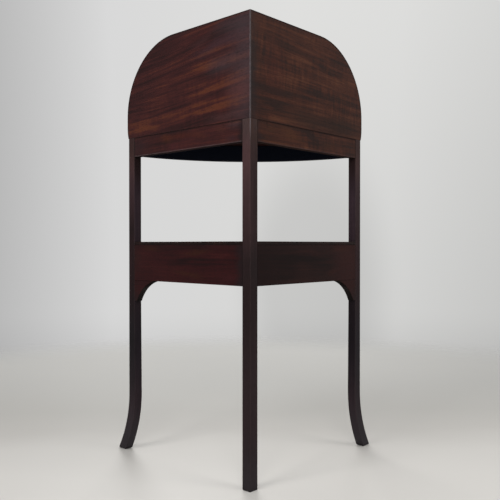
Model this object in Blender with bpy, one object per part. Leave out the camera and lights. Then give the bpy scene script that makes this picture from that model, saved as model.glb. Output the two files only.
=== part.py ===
"""Corner washstand in mahogany, about 1.12 m high.

Three legs carry a bow-fronted top, pierced for a basin and two cups, with two splash boards behind it.
A middle tier has a shelf over one working drawer, which sits between two false drawer fronts.

Metres, +Z up. The room's corner is at +Y and the bow front faces -Y. X = 0 is the plane of symmetry and
Z = 0 is the floor. Left and right are those of someone who stands in front of the bow.
Each wall has its own frame: "along" runs from the room's corner and "inward" from the wall into the room.
"""

import math

import bmesh
import bpy

# Overall sizes
WALL_RUN = 0.459  # along a wall, from the room's corner to the outer face of a front leg
FRAME_HEIGHT = 0.870  # floor to the tops of the legs and upper rails
SPLASH_HEIGHT = 0.251
SHELF_TOP = 0.584
FIT_GAP = 0.0003  # the glue line between neighbouring pieces

# Legs
POST_SIDE = 0.0256  # square back post
LEG_SIDE = 0.024  # square front legs
KNEE_WIDTH = 0.0265  # of a front leg, along the wall, where its foot starts to sweep out
FOOT_RISE = 0.165  # height of the knee
FOOT_SWEEP = 0.0495
FOOT_WIDTH = 0.0312  # along the wall, at the floor
FOOT_ROUND = 0.004  # radius of its worn lower arrises

# Rails and their tenons
UPPER_RAIL_HEIGHT = 0.052
MIDDLE_RAIL_HEIGHT = 0.0973
RAIL_THICKNESS = 0.018
FRIEZE_HEIGHT = 0.046
FRIEZE_THICKNESS = 0.018
DRAWER_RAIL_HEIGHT = 0.014
DRAWER_RAIL_DEPTH = 0.045
TENON_INSET = 0.006  # outer face to the cheek of a back rail's tenon
TENON_THICKNESS = 0.006
TENON_SHOULDER = 0.006  # above and below a tenon
DRAWER_TENON_SHOULDER = 0.003
MORTISE_WEB = 0.002  # wood between the two mortises that meet in a leg

# Brackets under the middle tier
BRACKET_REACH = 0.078
BRACKET_DROP = 0.0575
BRACKET_NIB = 0.010  # width of the blunt lower end
BRACKET_TIP = 0.0015  # height of the blunt far end
BRACKET_HOLLOW = 0.010  # how deep the curve bites in from its chord
FRONT_BRACKET_REACH = 0.048
FRONT_BRACKET_DROP = 0.044
FRONT_BRACKET_THICKNESS = 0.014

# Top, shelf and splash boards
TOP_THICKNESS = 0.010
TOP_OVERHANG = 0.005
BASIN_HOLE = 0.270  # diameter
BASIN_MARGIN = 0.010  # top board left between the basin hole and the splash boards
CUP_HOLE = 0.084  # diameter
CUP_MARGIN = 0.020  # between a cup hole and the splash board beside it
CUP_WEB = 0.025  # between a cup hole and the basin hole
SHELF_THICKNESS = 0.008
SHELF_OVERHANG = 0.003
SPLASH_THICKNESS = 0.010
SPLASH_OVERHANG = 0.006  # past the leg
SPLASH_END = 0.058  # height of the upright end, up to where the shoulder's round starts
SPLASH_TUCK = 0.004  # how far the end draws in at the bottom
SPLASH_TUCK_HEIGHT = 0.030
DOWEL_DIAMETER = 0.005
DOWEL_LENGTH = 0.030
DOWEL_COUNT = 3  # along each splash board
DOWEL_FROM_POST = 0.0365  # back post's face to the first dowel
DOWEL_FROM_LEG = 0.015  # front leg's face to the last dowel
GLUE_BLOCK_SIDE = 0.012
GLUE_BLOCK_LENGTH = 0.044
GLUE_BLOCK_PLACES = (0.075, 0.275)  # along a wall
GLUE_BLOCK_ANGLE = math.radians(25)  # either side of the middle of the bow

# Middle tier's front
DRAWER_OPENING = 0.240
MUNTIN_WIDTH = 0.012
MUNTIN_DEPTH = 0.022
FALSE_FRONT_THICKNESS = 0.015
BEAD_WIDTH = 0.003
BEAD_DEPTH = 0.005  # let into the edge of a front
BEAD_PROUD = 0.0015

# Drawer and what it runs on
DRAWER_FRONT_THICKNESS = 0.020
DRAWER_SIDE_THICKNESS = 0.007
DRAWER_BACK_THICKNESS = 0.007
DRAWER_BACK_DROP = 0.006  # back's top edge below the sides' top edges
DRAWER_BOTTOM_THICKNESS = 0.005
DRAWER_BOTTOM_RAISE = 0.007  # bottom board above the sides' lower edges
DRAWER_GROOVE = 0.0035
DRAWER_SIDE_GAP = 0.001
DRAWER_TOP_GAP = 0.001
DRAWER_REAR_CLEARANCE = 0.006
DOVETAIL_LAP = 0.006  # front's wood left in front of the tails
DOVETAIL_COUNT = 3
DOVETAIL_ROOT_SHARE = 0.6  # of the pitch of the tails
DOVETAIL_SLOPE = 0.15
RUNNER_WIDTH = 0.028
RUNNER_UNDER_DRAWER = 0.016  # part of a runner's width that the drawer covers
GUIDE_WIDTH = 0.008
GUIDE_HEIGHT = 0.020
GUIDE_GAP = 0.0005
STOP_LENGTH = 0.026
STOP_DEPTH = 0.012
STOP_HEIGHT = 0.004
STOP_INSET = 0.034  # drawer's side to the near end of a stop

# Brass knobs
KNOB_DIAMETER = 0.020
KNOB_PROJECTION = 0.022
KNOB_ROSE_DIAMETER = 0.017
KNOB_ROSE_THICKNESS = 0.002
KNOB_ROSE_CHAMFER = 0.0005
KNOB_NECK_DIAMETER = 0.0075
KNOB_NECK_LENGTH = 0.004
KNOB_NECK_HOLLOW = 0.002  # height of the sweep from the rose into the neck
KNOB_CROWN = 0.004  # height of the head's dome above its widest line
KNOB_SHANK_DIAMETER = 0.004
KNOB_SHANK_SPARE = 0.0015  # thread past the nut
NUT_SIDE = 0.009
NUT_THICKNESS = 0.003

# Eased arrises and the fineness of curves
LEG_EASE = 0.0012
RAIL_EASE = 0.0009
BOARD_EASE = 0.0008
EASE_SEGMENTS = 2
EASE_PROFILE = 0.5  # a round one
EASE_LEAST_ANGLE = math.radians(40)
BOW_STEP = math.radians(3)
FOOT_STEPS = 12
FOOT_ROUND_STEPS = 2
BRACKET_STEPS = 10
SPLASH_ROUND_STEPS = 30
SPLASH_TUCK_STEPS = 5
BASIN_SIDES = 72
CUP_SIDES = 40
DOWEL_SIDES = 12
KNOB_SIDES = 24
NUT_POINTS = 16
KNOB_ROUND_STEPS = 10
CUT_PAST = 0.001  # how far a cutter runs past the face that it opens

# Worked out from the sizes above
ROOT_TWO = math.sqrt(2)
BOW_RADIUS = WALL_RUN  # the bow is a quarter circle about the room's corner
CORNER_SETBACK = LEG_EASE * (ROOT_TWO - 1)  # of the post's eased arris from the room's corner
CORNER_Y = (BOW_RADIUS + max(KNOB_PROJECTION, TOP_OVERHANG) + CORNER_SETBACK) / 2
LEG_NEAR = WALL_RUN - LEG_SIDE  # along a wall, to the near face of a front leg
POST_MORTISE = POST_SIDE - TENON_INSET - TENON_THICKNESS - MORTISE_WEB
LEG_MORTISE = LEG_SIDE - TENON_INSET - TENON_THICKNESS - MORTISE_WEB
UPPER_RAIL_BOTTOM = FRAME_HEIGHT - UPPER_RAIL_HEIGHT
FRIEZE_BOTTOM = FRAME_HEIGHT - FRIEZE_HEIGHT
SHELF_BOTTOM = SHELF_TOP - SHELF_THICKNESS
MIDDLE_BOTTOM = SHELF_BOTTOM - FIT_GAP - MIDDLE_RAIL_HEIGHT
SWELL_TOP = MIDDLE_BOTTOM - FIT_GAP - BRACKET_DROP  # a front leg swells from here down to its knee
DRAWER_RAIL_TOP = MIDDLE_BOTTOM + DRAWER_RAIL_HEIGHT
BOARD_FLOOR = FRAME_HEIGHT + FIT_GAP  # underside of the top board and of the splash boards
SPLASH_ROUND = SPLASH_HEIGHT - SPLASH_END
FALSE_BOTTOM = DRAWER_RAIL_TOP + FIT_GAP
FALSE_TOP = SHELF_BOTTOM - FIT_GAP
FALSE_NEAR = DRAWER_OPENING / 2 + MUNTIN_WIDTH + FIT_GAP
DRAWER_FLOOR = DRAWER_RAIL_TOP + FIT_GAP
DRAWER_HEIGHT = SHELF_BOTTOM - DRAWER_TOP_GAP - DRAWER_FLOOR
DRAWER_HALF = DRAWER_OPENING / 2 - DRAWER_SIDE_GAP
DRAWER_INNER = DRAWER_HALF - DRAWER_SIDE_THICKNESS
DRAWER_REAR = DRAWER_HALF + ROOT_TWO * RAIL_THICKNESS + DRAWER_REAR_CLEARANCE  # from the room's corner
DRAWER_FRONT_INSIDE = BOW_RADIUS - DRAWER_FRONT_THICKNESS
BOTTOM_TOP = DRAWER_BOTTOM_RAISE + DRAWER_BOTTOM_THICKNESS

SIDES = {"left": -1, "right": 1}


def clear_scene():
    for obj in list(bpy.data.objects):
        bpy.data.objects.remove(obj)


def finish(name, colour, roughness, metallic=0.0):
    material = bpy.data.materials.new(name)
    material.use_nodes = True
    shader = material.node_tree.nodes["Principled BSDF"]
    shader.inputs["Base Color"].default_value = (*colour, 1.0)
    shader.inputs["Roughness"].default_value = roughness
    shader.inputs["Metallic"].default_value = metallic
    return material


def add_empty(name, parent=None, location=(0, 0, 0), turn=0.0):
    empty = bpy.data.objects.new(name, None)
    empty.parent = parent
    empty.location = location
    empty.rotation_euler.z = turn
    bpy.context.collection.objects.link(empty)
    return empty


def add_piece(name, mesh, material, parent, location=(0, 0, 0), rotation=(0, 0, 0)):
    data = bpy.data.meshes.new(name)
    mesh.to_mesh(data)
    mesh.free()
    data.materials.append(material)
    data.shade_smooth()
    data.set_sharp_from_angle(angle=EASE_LEAST_ANGLE)
    piece = bpy.data.objects.new(name, data)
    piece.parent = parent
    piece.location = location
    piece.rotation_euler = rotation
    bpy.context.collection.objects.link(piece)
    return piece


def add_cutter(name, mesh, material, parent, location=(0, 0, 0), rotation=(0, 0, 0)):
    cutter = add_piece(name, mesh, material, parent, location, rotation)
    cutter.hide_render = True
    cutter.display_type = "WIRE"
    return cutter


def cut(piece, cutter):
    boolean = piece.modifiers.new(cutter.name, "BOOLEAN")
    boolean.operation = "DIFFERENCE"
    boolean.solver = "EXACT"
    boolean.object = cutter


# Solids from loops of points

def bridge(mesh, first, second):
    count = len(first)
    for i in range(count):
        j = (i + 1) % count
        mesh.faces.new((first[i], first[j], second[j], second[i]))


def flat_cap(mesh, loop):
    mesh.faces.new(loop)


def strip_cap(mesh, loop):
    """Fills a loop that runs along one curve and back along its twin."""
    for i in range(len(loop) // 2 - 1):
        mesh.faces.new((loop[i], loop[i + 1], loop[-2 - i], loop[-1 - i]))


def solid(loops, cap=flat_cap):
    """A closed solid through loops of equally many points."""
    mesh = bmesh.new()
    rows = [[mesh.verts.new(point) for point in loop] for loop in loops]
    for first, second in zip(rows, rows[1:]):
        bridge(mesh, first, second)
    cap(mesh, rows[0])
    cap(mesh, rows[-1])
    bmesh.ops.recalc_face_normals(mesh, faces=mesh.faces)
    return mesh


def ring(loops):
    """A closed ring through loops of equally many points, the last joined to the first."""
    mesh = bmesh.new()
    rows = [[mesh.verts.new(point) for point in loop] for loop in loops]
    for i, row in enumerate(rows):
        bridge(mesh, row, rows[(i + 1) % len(rows)])
    bmesh.ops.recalc_face_normals(mesh, faces=mesh.faces)
    return mesh


def ease(mesh, width, axis=None):
    """Rounds the outside arrises, or only those that run along one axis."""
    def chosen(edge):
        if len(edge.link_faces) != 2 or edge.calc_face_angle_signed() < EASE_LEAST_ANGLE:
            return False
        way = (edge.verts[1].co - edge.verts[0].co).normalized()
        return axis is None or abs(way[axis]) > 1 / ROOT_TWO

    mesh.normal_update()
    edges = [edge for edge in mesh.edges if chosen(edge)]
    bmesh.ops.bevel(
        mesh, geom=edges, offset=width, segments=EASE_SEGMENTS, profile=EASE_PROFILE,
        affect="EDGES", clamp_overlap=True,
    )
    return mesh


def rectangle(low, high):
    """Corners of a rectangle in any plane, from its two opposite corners."""
    return [(low[0], low[1]), (high[0], low[1]), (high[0], high[1]), (low[0], high[1])]


def circle(radius, sides, height=0.0):
    turn = 2 * math.pi / sides
    return [(radius * math.cos(turn * i), radius * math.sin(turn * i), height) for i in range(sides)]


def rod(radius, sides, low, high):
    return solid([circle(radius, sides, low), circle(radius, sides, high)])


def prism(outline, low, high):
    return solid([[(x, y, height) for x, y in outline] for height in (low, high)])


# Points in a wall's frame and on the bow

def wall_turn(side):
    return math.radians(45 * side - 90)


def at_wall(side, along, inward, height):
    """A point in the frame of the left or right wall."""
    return (along, -side * inward, height)


def wall_box(side, along, inward, height):
    """A box in a wall's frame, from three (low, high) pairs."""
    corners = rectangle((inward[0], height[0]), (inward[1], height[1]))
    return solid([[at_wall(side, place, w, z) for w, z in corners] for place in along])


def in_plan(side, along, inward):
    """A wall's point as (x, y), with the room's corner as the origin."""
    return (side * (along - inward) / ROOT_TWO, -(along + inward) / ROOT_TWO)


def on_bow(radius, angle, height):
    """A point on an arc about the room's corner. The angle is 0 at the middle of the bow."""
    return (radius * math.sin(angle), -radius * math.cos(angle), height)


def at_x(x):
    """The angle at which an arc of any radius crosses one X."""
    return lambda radius: math.asin(x / radius)


def at_leg(side):
    """The angle at which an arc of any radius meets the inner side of a front leg."""
    return lambda radius: side * (math.pi / 4 - math.asin((LEG_SIDE + FIT_GAP) / radius))


def arc_angles(first, last, steps):
    return [first + (last - first) * i / steps for i in range(steps + 1)]


def bow_steps(start, end, radius=BOW_RADIUS):
    return max(2, math.ceil(abs(end(radius) - start(radius)) / BOW_STEP))


def bow_loop(radius, start, end, bottom, top, steps):
    """A rectangle wrapped on the bow: out along its lower edge and back along its upper one."""
    angles = arc_angles(start(radius), end(radius), steps)
    lower = [on_bow(radius, angle, bottom) for angle in angles]
    upper = [on_bow(radius, angle, top) for angle in reversed(angles)]
    return lower + upper


def bow_panel(inside, outside, start, end, bottom, top):
    """A panel that follows the bow, between two radii."""
    steps = bow_steps(start, end)
    loops = [bow_loop(radius, start, end, bottom, top, steps) for radius in (inside, outside)]
    return solid(loops, strip_cap)


# Legs

def back_post(corner, wood):
    outline = [in_plan(1, along, inward) for along, inward in rectangle((0, 0), (POST_SIDE, POST_SIDE))]
    mesh = ease(prism(outline, 0, FRAME_HEIGHT), LEG_EASE, axis=2)
    return add_piece("back_post", mesh, wood, corner)


def foot_heights():
    """From the floor up: round the worn arris, then in even steps to the end of the sweep."""
    turns = arc_angles(0, math.pi / 2, FOOT_ROUND_STEPS)
    round_heights = [FOOT_ROUND * (1 - math.cos(turn)) for turn in turns]
    sweep_heights = [FOOT_RISE * i / FOOT_STEPS for i in range(1, FOOT_STEPS + 1)]
    return round_heights + [height for height in sweep_heights if height > FOOT_ROUND]


def front_leg(name, side, wall, wood):
    """Square above, swelling to the knee, with a foot that sweeps out along the wall in a parabola."""
    loops = []
    for height in [*foot_heights(), SWELL_TOP, FRAME_HEIGHT]:
        share = max(0.0, 1 - height / FOOT_RISE) ** 2
        swell = min(1.0, max(0.0, SWELL_TOP - height) / (SWELL_TOP - FOOT_RISE))
        drop = max(0.0, FOOT_ROUND - height)
        inset = FOOT_ROUND - math.sqrt(FOOT_ROUND ** 2 - drop ** 2)
        width = LEG_SIDE + (KNEE_WIDTH - LEG_SIDE) * swell + (FOOT_WIDTH - KNEE_WIDTH) * share
        outer = LEG_SIDE / 2 + FOOT_SWEEP * share
        inner = outer - width
        half = LEG_SIDE / 2 - inset
        corners = rectangle((inner + inset, -half), (outer - inset, half))
        loops.append([(along, across, height) for along, across in corners])
    mesh = ease(solid(loops), LEG_EASE, axis=2)
    place = at_wall(side, LEG_NEAR + LEG_SIDE / 2, LEG_SIDE / 2, 0)
    return add_piece(f"front_leg_{name}", mesh, wood, wall, place)


# Rails between the legs

def back_rail(title, name, side, wall, wood, bottom, height):
    """A straight rail flush with the outer faces of the legs, with a tenon at each end."""
    length = LEG_NEAR - POST_SIDE - 2 * FIT_GAP
    whole = rectangle((0, 0), (RAIL_THICKNESS, height))
    tenon = rectangle(
        (TENON_INSET, TENON_SHOULDER), (TENON_INSET + TENON_THICKNESS, height - TENON_SHOULDER)
    )
    stations = [
        (2 * FIT_GAP - POST_MORTISE, tenon), (0, tenon), (0, whole),
        (length, whole), (length, tenon), (length + LEG_MORTISE - 2 * FIT_GAP, tenon),
    ]
    loops = [[at_wall(side, along, w, z) for w, z in corners] for along, corners in stations]
    mesh = ease(solid(loops), RAIL_EASE, axis=0)
    return add_piece(f"{title}_{name}", mesh, wood, wall, (POST_SIDE + FIT_GAP, 0, bottom))


def cut_back_mortises(name, side, wall, wood, post, leg, bottom, height):
    inward = (TENON_INSET - FIT_GAP, TENON_INSET + TENON_THICKNESS + FIT_GAP)
    heights = (bottom + TENON_SHOULDER - FIT_GAP, bottom + height - TENON_SHOULDER + FIT_GAP)
    in_post = wall_box(side, (POST_SIDE - POST_MORTISE, POST_SIDE + CUT_PAST), inward, heights)
    in_leg = wall_box(side, (LEG_NEAR - CUT_PAST, LEG_NEAR + LEG_MORTISE), inward, heights)
    cut(post, add_cutter(f"mortise_post_{name}_{bottom:.3f}", in_post, wood, wall))
    cut(leg, add_cutter(f"mortise_leg_{name}_{bottom:.3f}", in_leg, wood, wall))


def bow_tenon(side, inward, shoulder, bottom, top):
    """A loop round the tenon of a bow rail, centred on the leg."""
    middle = LEG_NEAR + LEG_SIDE / 2
    low = (middle - TENON_THICKNESS / 2, bottom + shoulder)
    high = (middle + TENON_THICKNESS / 2, top - shoulder)
    return [(*in_plan(side, along, inward), z) for along, z in rectangle(low, high)]


def bow_rail(name, corner, wood, thickness, bottom, top, shoulder):
    """A rail that follows the bow from leg to leg, with a tenon at each end."""
    start, end = at_leg(-1), at_leg(1)
    steps = bow_steps(start, end)
    section = rectangle((BOW_RADIUS - thickness, bottom), (BOW_RADIUS, top))
    face = LEG_SIDE + FIT_GAP
    tip = LEG_SIDE - LEG_MORTISE + FIT_GAP
    loops = [bow_tenon(-1, tip, shoulder, bottom, top), bow_tenon(-1, face, shoulder, bottom, top)]
    for i in range(steps + 1):
        share = i / steps
        loops.append([
            on_bow(radius, start(radius) + (end(radius) - start(radius)) * share, z)
            for radius, z in section
        ])
    loops += [bow_tenon(1, face, shoulder, bottom, top), bow_tenon(1, tip, shoulder, bottom, top)]
    return add_piece(name, solid(loops), wood, corner)


def cut_bow_mortise(title, name, side, wall, wood, leg, bottom, top, shoulder):
    middle = LEG_NEAR + LEG_SIDE / 2
    half = TENON_THICKNESS / 2 + FIT_GAP
    mesh = wall_box(
        side,
        (middle - half, middle + half),
        (LEG_SIDE - LEG_MORTISE, LEG_SIDE + CUT_PAST),
        (bottom + shoulder - FIT_GAP, top - shoulder + FIT_GAP),
    )
    cut(leg, add_cutter(f"mortise_{title}_{name}", mesh, wood, wall))


# Brackets

def bracket_edge(reach, drop):
    """(distance from the leg, height) down the hollow curve, from the far tip to the blunt lower end."""
    tip = (reach, -BRACKET_TIP)
    nib = (BRACKET_NIB, -drop)
    chord = math.dist(tip, nib)
    across = ((tip[1] - nib[1]) / chord, (nib[0] - tip[0]) / chord)
    radius = (chord ** 2 / 4 + BRACKET_HOLLOW ** 2) / (2 * BRACKET_HOLLOW)
    points = []
    for i in range(BRACKET_STEPS + 1):
        share = i / BRACKET_STEPS
        offset = (share - 0.5) * chord
        rise = math.sqrt(radius ** 2 - offset ** 2) - radius + BRACKET_HOLLOW
        x = tip[0] + (nib[0] - tip[0]) * share - across[0] * rise
        z = tip[1] + (nib[1] - tip[1]) * share - across[1] * rise
        points.append((x, z))
    return points


def back_bracket(name, side, wall, wood):
    loops = []
    for reach, low in bracket_edge(BRACKET_REACH, BRACKET_DROP) + [(0, -BRACKET_DROP)]:
        corners = rectangle((0, low), (RAIL_THICKNESS, 0))
        loops.append([at_wall(side, -reach, w, z) for w, z in corners])
    place = (LEG_NEAR - FIT_GAP, 0, MIDDLE_BOTTOM - FIT_GAP)
    return add_piece(f"back_bracket_{name}", solid(loops), wood, wall, place)


def front_bracket(name, side, corner, wood):
    """The same curve, bent round the bow beside the leg."""
    leg = at_leg(side)
    loops = []
    edge = bracket_edge(FRONT_BRACKET_REACH, FRONT_BRACKET_DROP) + [(0, -FRONT_BRACKET_DROP)]
    for reach, low in edge:
        corners = rectangle((BOW_RADIUS - FRONT_BRACKET_THICKNESS, low), (BOW_RADIUS, 0))
        turn = side * reach / BOW_RADIUS
        loops.append([on_bow(radius, leg(radius) - turn, z) for radius, z in corners])
    place = (0, 0, MIDDLE_BOTTOM - FIT_GAP)
    return add_piece(f"front_bracket_{name}", solid(loops), wood, corner, place)


# Top, shelf and splash boards

def quarter_outline(radius, inward):
    """(x, y) round the bow from the right wall to the left one, a given distance inside both."""
    last = math.pi / 4 - math.asin(inward / radius)
    steps = math.ceil(2 * last / BOW_STEP)
    return [on_bow(radius, angle, 0)[:2] for angle in arc_angles(last, -last, steps)]


def top_hole_places():
    """The centres of the basin hole and of the two cup holes, as (x, y)."""
    edge = SPLASH_THICKNESS + FIT_GAP
    basin = edge + BASIN_MARGIN + BASIN_HOLE / 2
    cup = edge + CUP_MARGIN + CUP_HOLE / 2
    apart = BASIN_HOLE / 2 + CUP_WEB + CUP_HOLE / 2
    along = basin + math.sqrt(apart ** 2 - (basin - cup) ** 2)
    return in_plan(1, basin, basin), [in_plan(side, along, cup) for side in SIDES.values()]


def top_board(corner, wood):
    edge = SPLASH_THICKNESS + FIT_GAP
    outline = [in_plan(1, edge, edge)] + quarter_outline(BOW_RADIUS + TOP_OVERHANG, edge)
    mesh = ease(prism(outline, 0, TOP_THICKNESS), BOARD_EASE)
    board = add_piece("top_board", mesh, wood, corner, (0, 0, BOARD_FLOOR))
    basin, cups = top_hole_places()
    holes = [(basin, BASIN_HOLE / 2, BASIN_SIDES)] + [(cup, CUP_HOLE / 2, CUP_SIDES) for cup in cups]
    for i, (place, radius, sides) in enumerate(holes):
        mesh = rod(radius, sides, -CUT_PAST, TOP_THICKNESS + CUT_PAST)
        cut(board, add_cutter(f"top_hole_{i}", mesh, wood, corner, (*place, BOARD_FLOOR)))
    return board


def shelf_board(corner, wood):
    """Lies on the middle rails, notched round the legs."""
    post = POST_SIDE + FIT_GAP
    near = LEG_NEAR - FIT_GAP
    inside = LEG_SIDE + FIT_GAP
    outline = [in_plan(1, post, post)]
    outline += [in_plan(1, post, 0), in_plan(1, near, 0), in_plan(1, near, inside)]
    outline += quarter_outline(BOW_RADIUS + SHELF_OVERHANG, inside)
    outline += [in_plan(-1, near, inside), in_plan(-1, near, 0), in_plan(-1, post, 0)]
    mesh = ease(prism(outline, 0, SHELF_THICKNESS), BOARD_EASE)
    return add_piece("shelf_board", mesh, wood, corner, (0, 0, SHELF_BOTTOM))


def splash_outline():
    """(along, height) from the foot of the board's end, up round its shoulder to the top edge."""
    end = WALL_RUN + SPLASH_OVERHANG
    points = []
    for i in range(SPLASH_TUCK_STEPS + 1):
        share = i / SPLASH_TUCK_STEPS
        points.append((end - SPLASH_TUCK * (1 - share) ** 2, SPLASH_TUCK_HEIGHT * share))
    for angle in arc_angles(0, math.pi / 2, SPLASH_ROUND_STEPS):
        along = end - SPLASH_ROUND * (1 - math.cos(angle))
        points.append((along, SPLASH_HEIGHT - SPLASH_ROUND * (1 - math.sin(angle))))
    return points


def splash_board(name, side, wall, wood):
    """Stands on the upper rail, mitred to its twin at the room's corner."""
    loops = []
    for inward in (0, SPLASH_THICKNESS):
        mitre = inward + FIT_GAP
        outline = [(mitre, 0)] + splash_outline() + [(mitre, SPLASH_HEIGHT)]
        loops.append([at_wall(side, along, inward, z) for along, z in outline])
    mesh = ease(solid(loops), BOARD_EASE)
    return add_piece(f"splash_board_{name}", mesh, wood, wall, (0, 0, BOARD_FLOOR))


def splash_dowels(name, side, wall, wood, rail, board):
    """Pegs that hold a splash board down on its rail."""
    half = DOWEL_LENGTH / 2
    first, last = POST_SIDE + DOWEL_FROM_POST, LEG_NEAR - DOWEL_FROM_LEG
    for i in range(1, DOWEL_COUNT + 1):
        along = first + (last - first) * (i - 1) / (DOWEL_COUNT - 1)
        place = at_wall(side, along, SPLASH_THICKNESS / 2, BOARD_FLOOR)
        peg = rod(DOWEL_DIAMETER / 2, DOWEL_SIDES, -half, half)
        add_piece(f"splash_dowel_{name}_{i}", peg, wood, wall, place)
        hole = rod(DOWEL_DIAMETER / 2 + FIT_GAP, DOWEL_SIDES, -half - FIT_GAP, half + FIT_GAP)
        cutter = add_cutter(f"dowel_hole_{name}_{i}", hole, wood, wall, place)
        cut(rail, cutter)
        cut(board, cutter)


def glue_blocks(name, side, wall, corner, wood):
    """Three-cornered blocks under the top board, against the back rail and the frieze."""
    for i, place in enumerate(GLUE_BLOCK_PLACES, start=1):
        inward = RAIL_THICKNESS + FIT_GAP
        corners = [(inward, 0), (inward + GLUE_BLOCK_SIDE, 0), (inward, -GLUE_BLOCK_SIDE)]
        ends = (place - GLUE_BLOCK_LENGTH / 2, place + GLUE_BLOCK_LENGTH / 2)
        loops = [[at_wall(side, along, w, z) for w, z in corners] for along in ends]
        add_piece(f"glue_block_{name}_{i}", solid(loops), wood, wall, (0, 0, FRAME_HEIGHT))
    outside = BOW_RADIUS - FRIEZE_THICKNESS - FIT_GAP
    corners = [(outside, 0), (outside - GLUE_BLOCK_SIDE, 0), (outside, -GLUE_BLOCK_SIDE)]
    half = GLUE_BLOCK_LENGTH / 2 / outside
    middle = side * GLUE_BLOCK_ANGLE
    loops = [
        [on_bow(radius, angle, z) for radius, z in corners]
        for angle in arc_angles(middle - half, middle + half, 2)
    ]
    add_piece(f"glue_block_{name}_front", solid(loops), wood, corner, (0, 0, FRAME_HEIGHT))


# Fronts of the middle tier

def fronted_panel(inside, start, end, inner_start, inner_end, bottom, top):
    """A bowed front with a rebate all round its face for the bead."""
    rebate = BOW_RADIUS - BEAD_DEPTH
    rim = BEAD_WIDTH + FIT_GAP
    steps = bow_steps(start, end)
    return solid([
        bow_loop(inside, start, end, bottom, top, steps),
        bow_loop(rebate, start, end, bottom, top, steps),
        bow_loop(rebate, inner_start, inner_end, bottom + rim, top - rim, steps),
        bow_loop(BOW_RADIUS, inner_start, inner_end, bottom + rim, top - rim, steps),
    ], strip_cap)


def bead_frame(start, end, inner_start, inner_end, bottom, top):
    """The strips of a bead, mitred into one frame in the rebate."""
    steps = bow_steps(start, end)
    inside = BOW_RADIUS - BEAD_DEPTH + FIT_GAP
    outside = BOW_RADIUS + BEAD_PROUD
    low, high = bottom + BEAD_WIDTH, top - BEAD_WIDTH
    return ring([
        bow_loop(inside, start, end, bottom, top, steps),
        bow_loop(outside, start, end, bottom, top, steps),
        bow_loop(outside, inner_start, inner_end, low, high, steps),
        bow_loop(inside, inner_start, inner_end, low, high, steps),
    ])


def moved(limit, distance):
    """A limit moved along the bow by a distance."""
    return lambda radius: limit(radius) + distance / BOW_RADIUS


def false_front(name, side, corner, wood, bead_wood):
    limits = sorted((at_x(side * FALSE_NEAR), at_leg(side)), key=lambda limit: limit(BOW_RADIUS))
    start, end = limits
    rim = BEAD_WIDTH + FIT_GAP
    mesh = fronted_panel(
        BOW_RADIUS - FALSE_FRONT_THICKNESS, start, end, moved(start, rim), moved(end, -rim),
        FALSE_BOTTOM, FALSE_TOP,
    )
    panel = add_piece(f"false_front_{name}", mesh, wood, corner)
    bead = bead_frame(
        start, end, moved(start, BEAD_WIDTH), moved(end, -BEAD_WIDTH), FALSE_BOTTOM, FALSE_TOP
    )
    add_piece(f"false_front_bead_{name}", bead, bead_wood, corner)
    middle = (start(BOW_RADIUS) + end(BOW_RADIUS)) / 2
    return panel, middle


def muntin(name, side, corner, wood):
    """The upright between the drawer and a false front."""
    near, far = side * DRAWER_OPENING / 2, side * (DRAWER_OPENING / 2 + MUNTIN_WIDTH)
    start, end = at_x(min(near, far)), at_x(max(near, far))
    mesh = bow_panel(BOW_RADIUS - MUNTIN_DEPTH, BOW_RADIUS, start, end, FALSE_BOTTOM, FALSE_TOP)
    return add_piece(f"muntin_{name}", mesh, wood, corner)


# Drawer

def dovetails(root, tip, sign, grow):
    """(depth, height) up one end of a drawer side, in and out round its tails."""
    pitch = DRAWER_HEIGHT / DOVETAIL_COUNT
    half_root = pitch * DOVETAIL_ROOT_SHARE / 2 + grow
    half_tip = half_root + abs(tip - root) * DOVETAIL_SLOPE
    points = []
    for i in range(DOVETAIL_COUNT):
        middle = pitch * (i + 0.5)
        points += [(root, middle - half_root), (tip + sign * grow, middle - half_tip)]
        points += [(tip + sign * grow, middle + half_tip), (root, middle + half_root)]
    return points


def drawer_side_outline(grow):
    """(depth from the room's corner, height), grown all round the tails to make their sockets."""
    rear_root = DRAWER_REAR + DRAWER_BACK_THICKNESS + FIT_GAP
    front_root = math.sqrt(DRAWER_FRONT_INSIDE ** 2 - DRAWER_HALF ** 2) - FIT_GAP
    front_tip = math.sqrt(BOW_RADIUS ** 2 - DRAWER_HALF ** 2) - DOVETAIL_LAP
    rear = dovetails(rear_root, DRAWER_REAR, -1, grow)
    front = dovetails(front_root, front_tip, 1, grow)
    foot = [(rear_root, 0), (front_root, 0)]
    head = [(front_root, DRAWER_HEIGHT), (rear_root, DRAWER_HEIGHT)]
    return foot + front + head + rear[::-1]


def drawer_side_mesh(side, inside, outside, grow):
    outline = drawer_side_outline(grow)
    return solid([[(side * x, -depth, z) for depth, z in outline] for x in (inside, outside)])


def drawer_sides(drawer, wood):
    """Makes both sides, and returns the cutters that sink their tails into the front and the back."""
    sockets = []
    low, high = DRAWER_BOTTOM_RAISE - FIT_GAP, BOTTOM_TOP + FIT_GAP
    for name, side in SIDES.items():
        mesh = drawer_side_mesh(side, DRAWER_INNER, DRAWER_HALF, 0)
        piece = add_piece(f"drawer_side_{name}", mesh, wood, drawer)
        corners = rectangle((DRAWER_INNER - CUT_PAST, low), (DRAWER_INNER + DRAWER_GROOVE, high))
        groove = solid([
            [(side * x, -depth, z) for x, z in corners]
            for depth in (DRAWER_REAR - CUT_PAST, BOW_RADIUS)
        ])
        cut(piece, add_cutter(f"side_groove_{name}", groove, wood, drawer))
        socket = drawer_side_mesh(side, DRAWER_INNER - FIT_GAP, DRAWER_HALF + CUT_PAST, FIT_GAP)
        sockets.append(add_cutter(f"tail_sockets_{name}", socket, wood, drawer))
    return sockets


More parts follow.
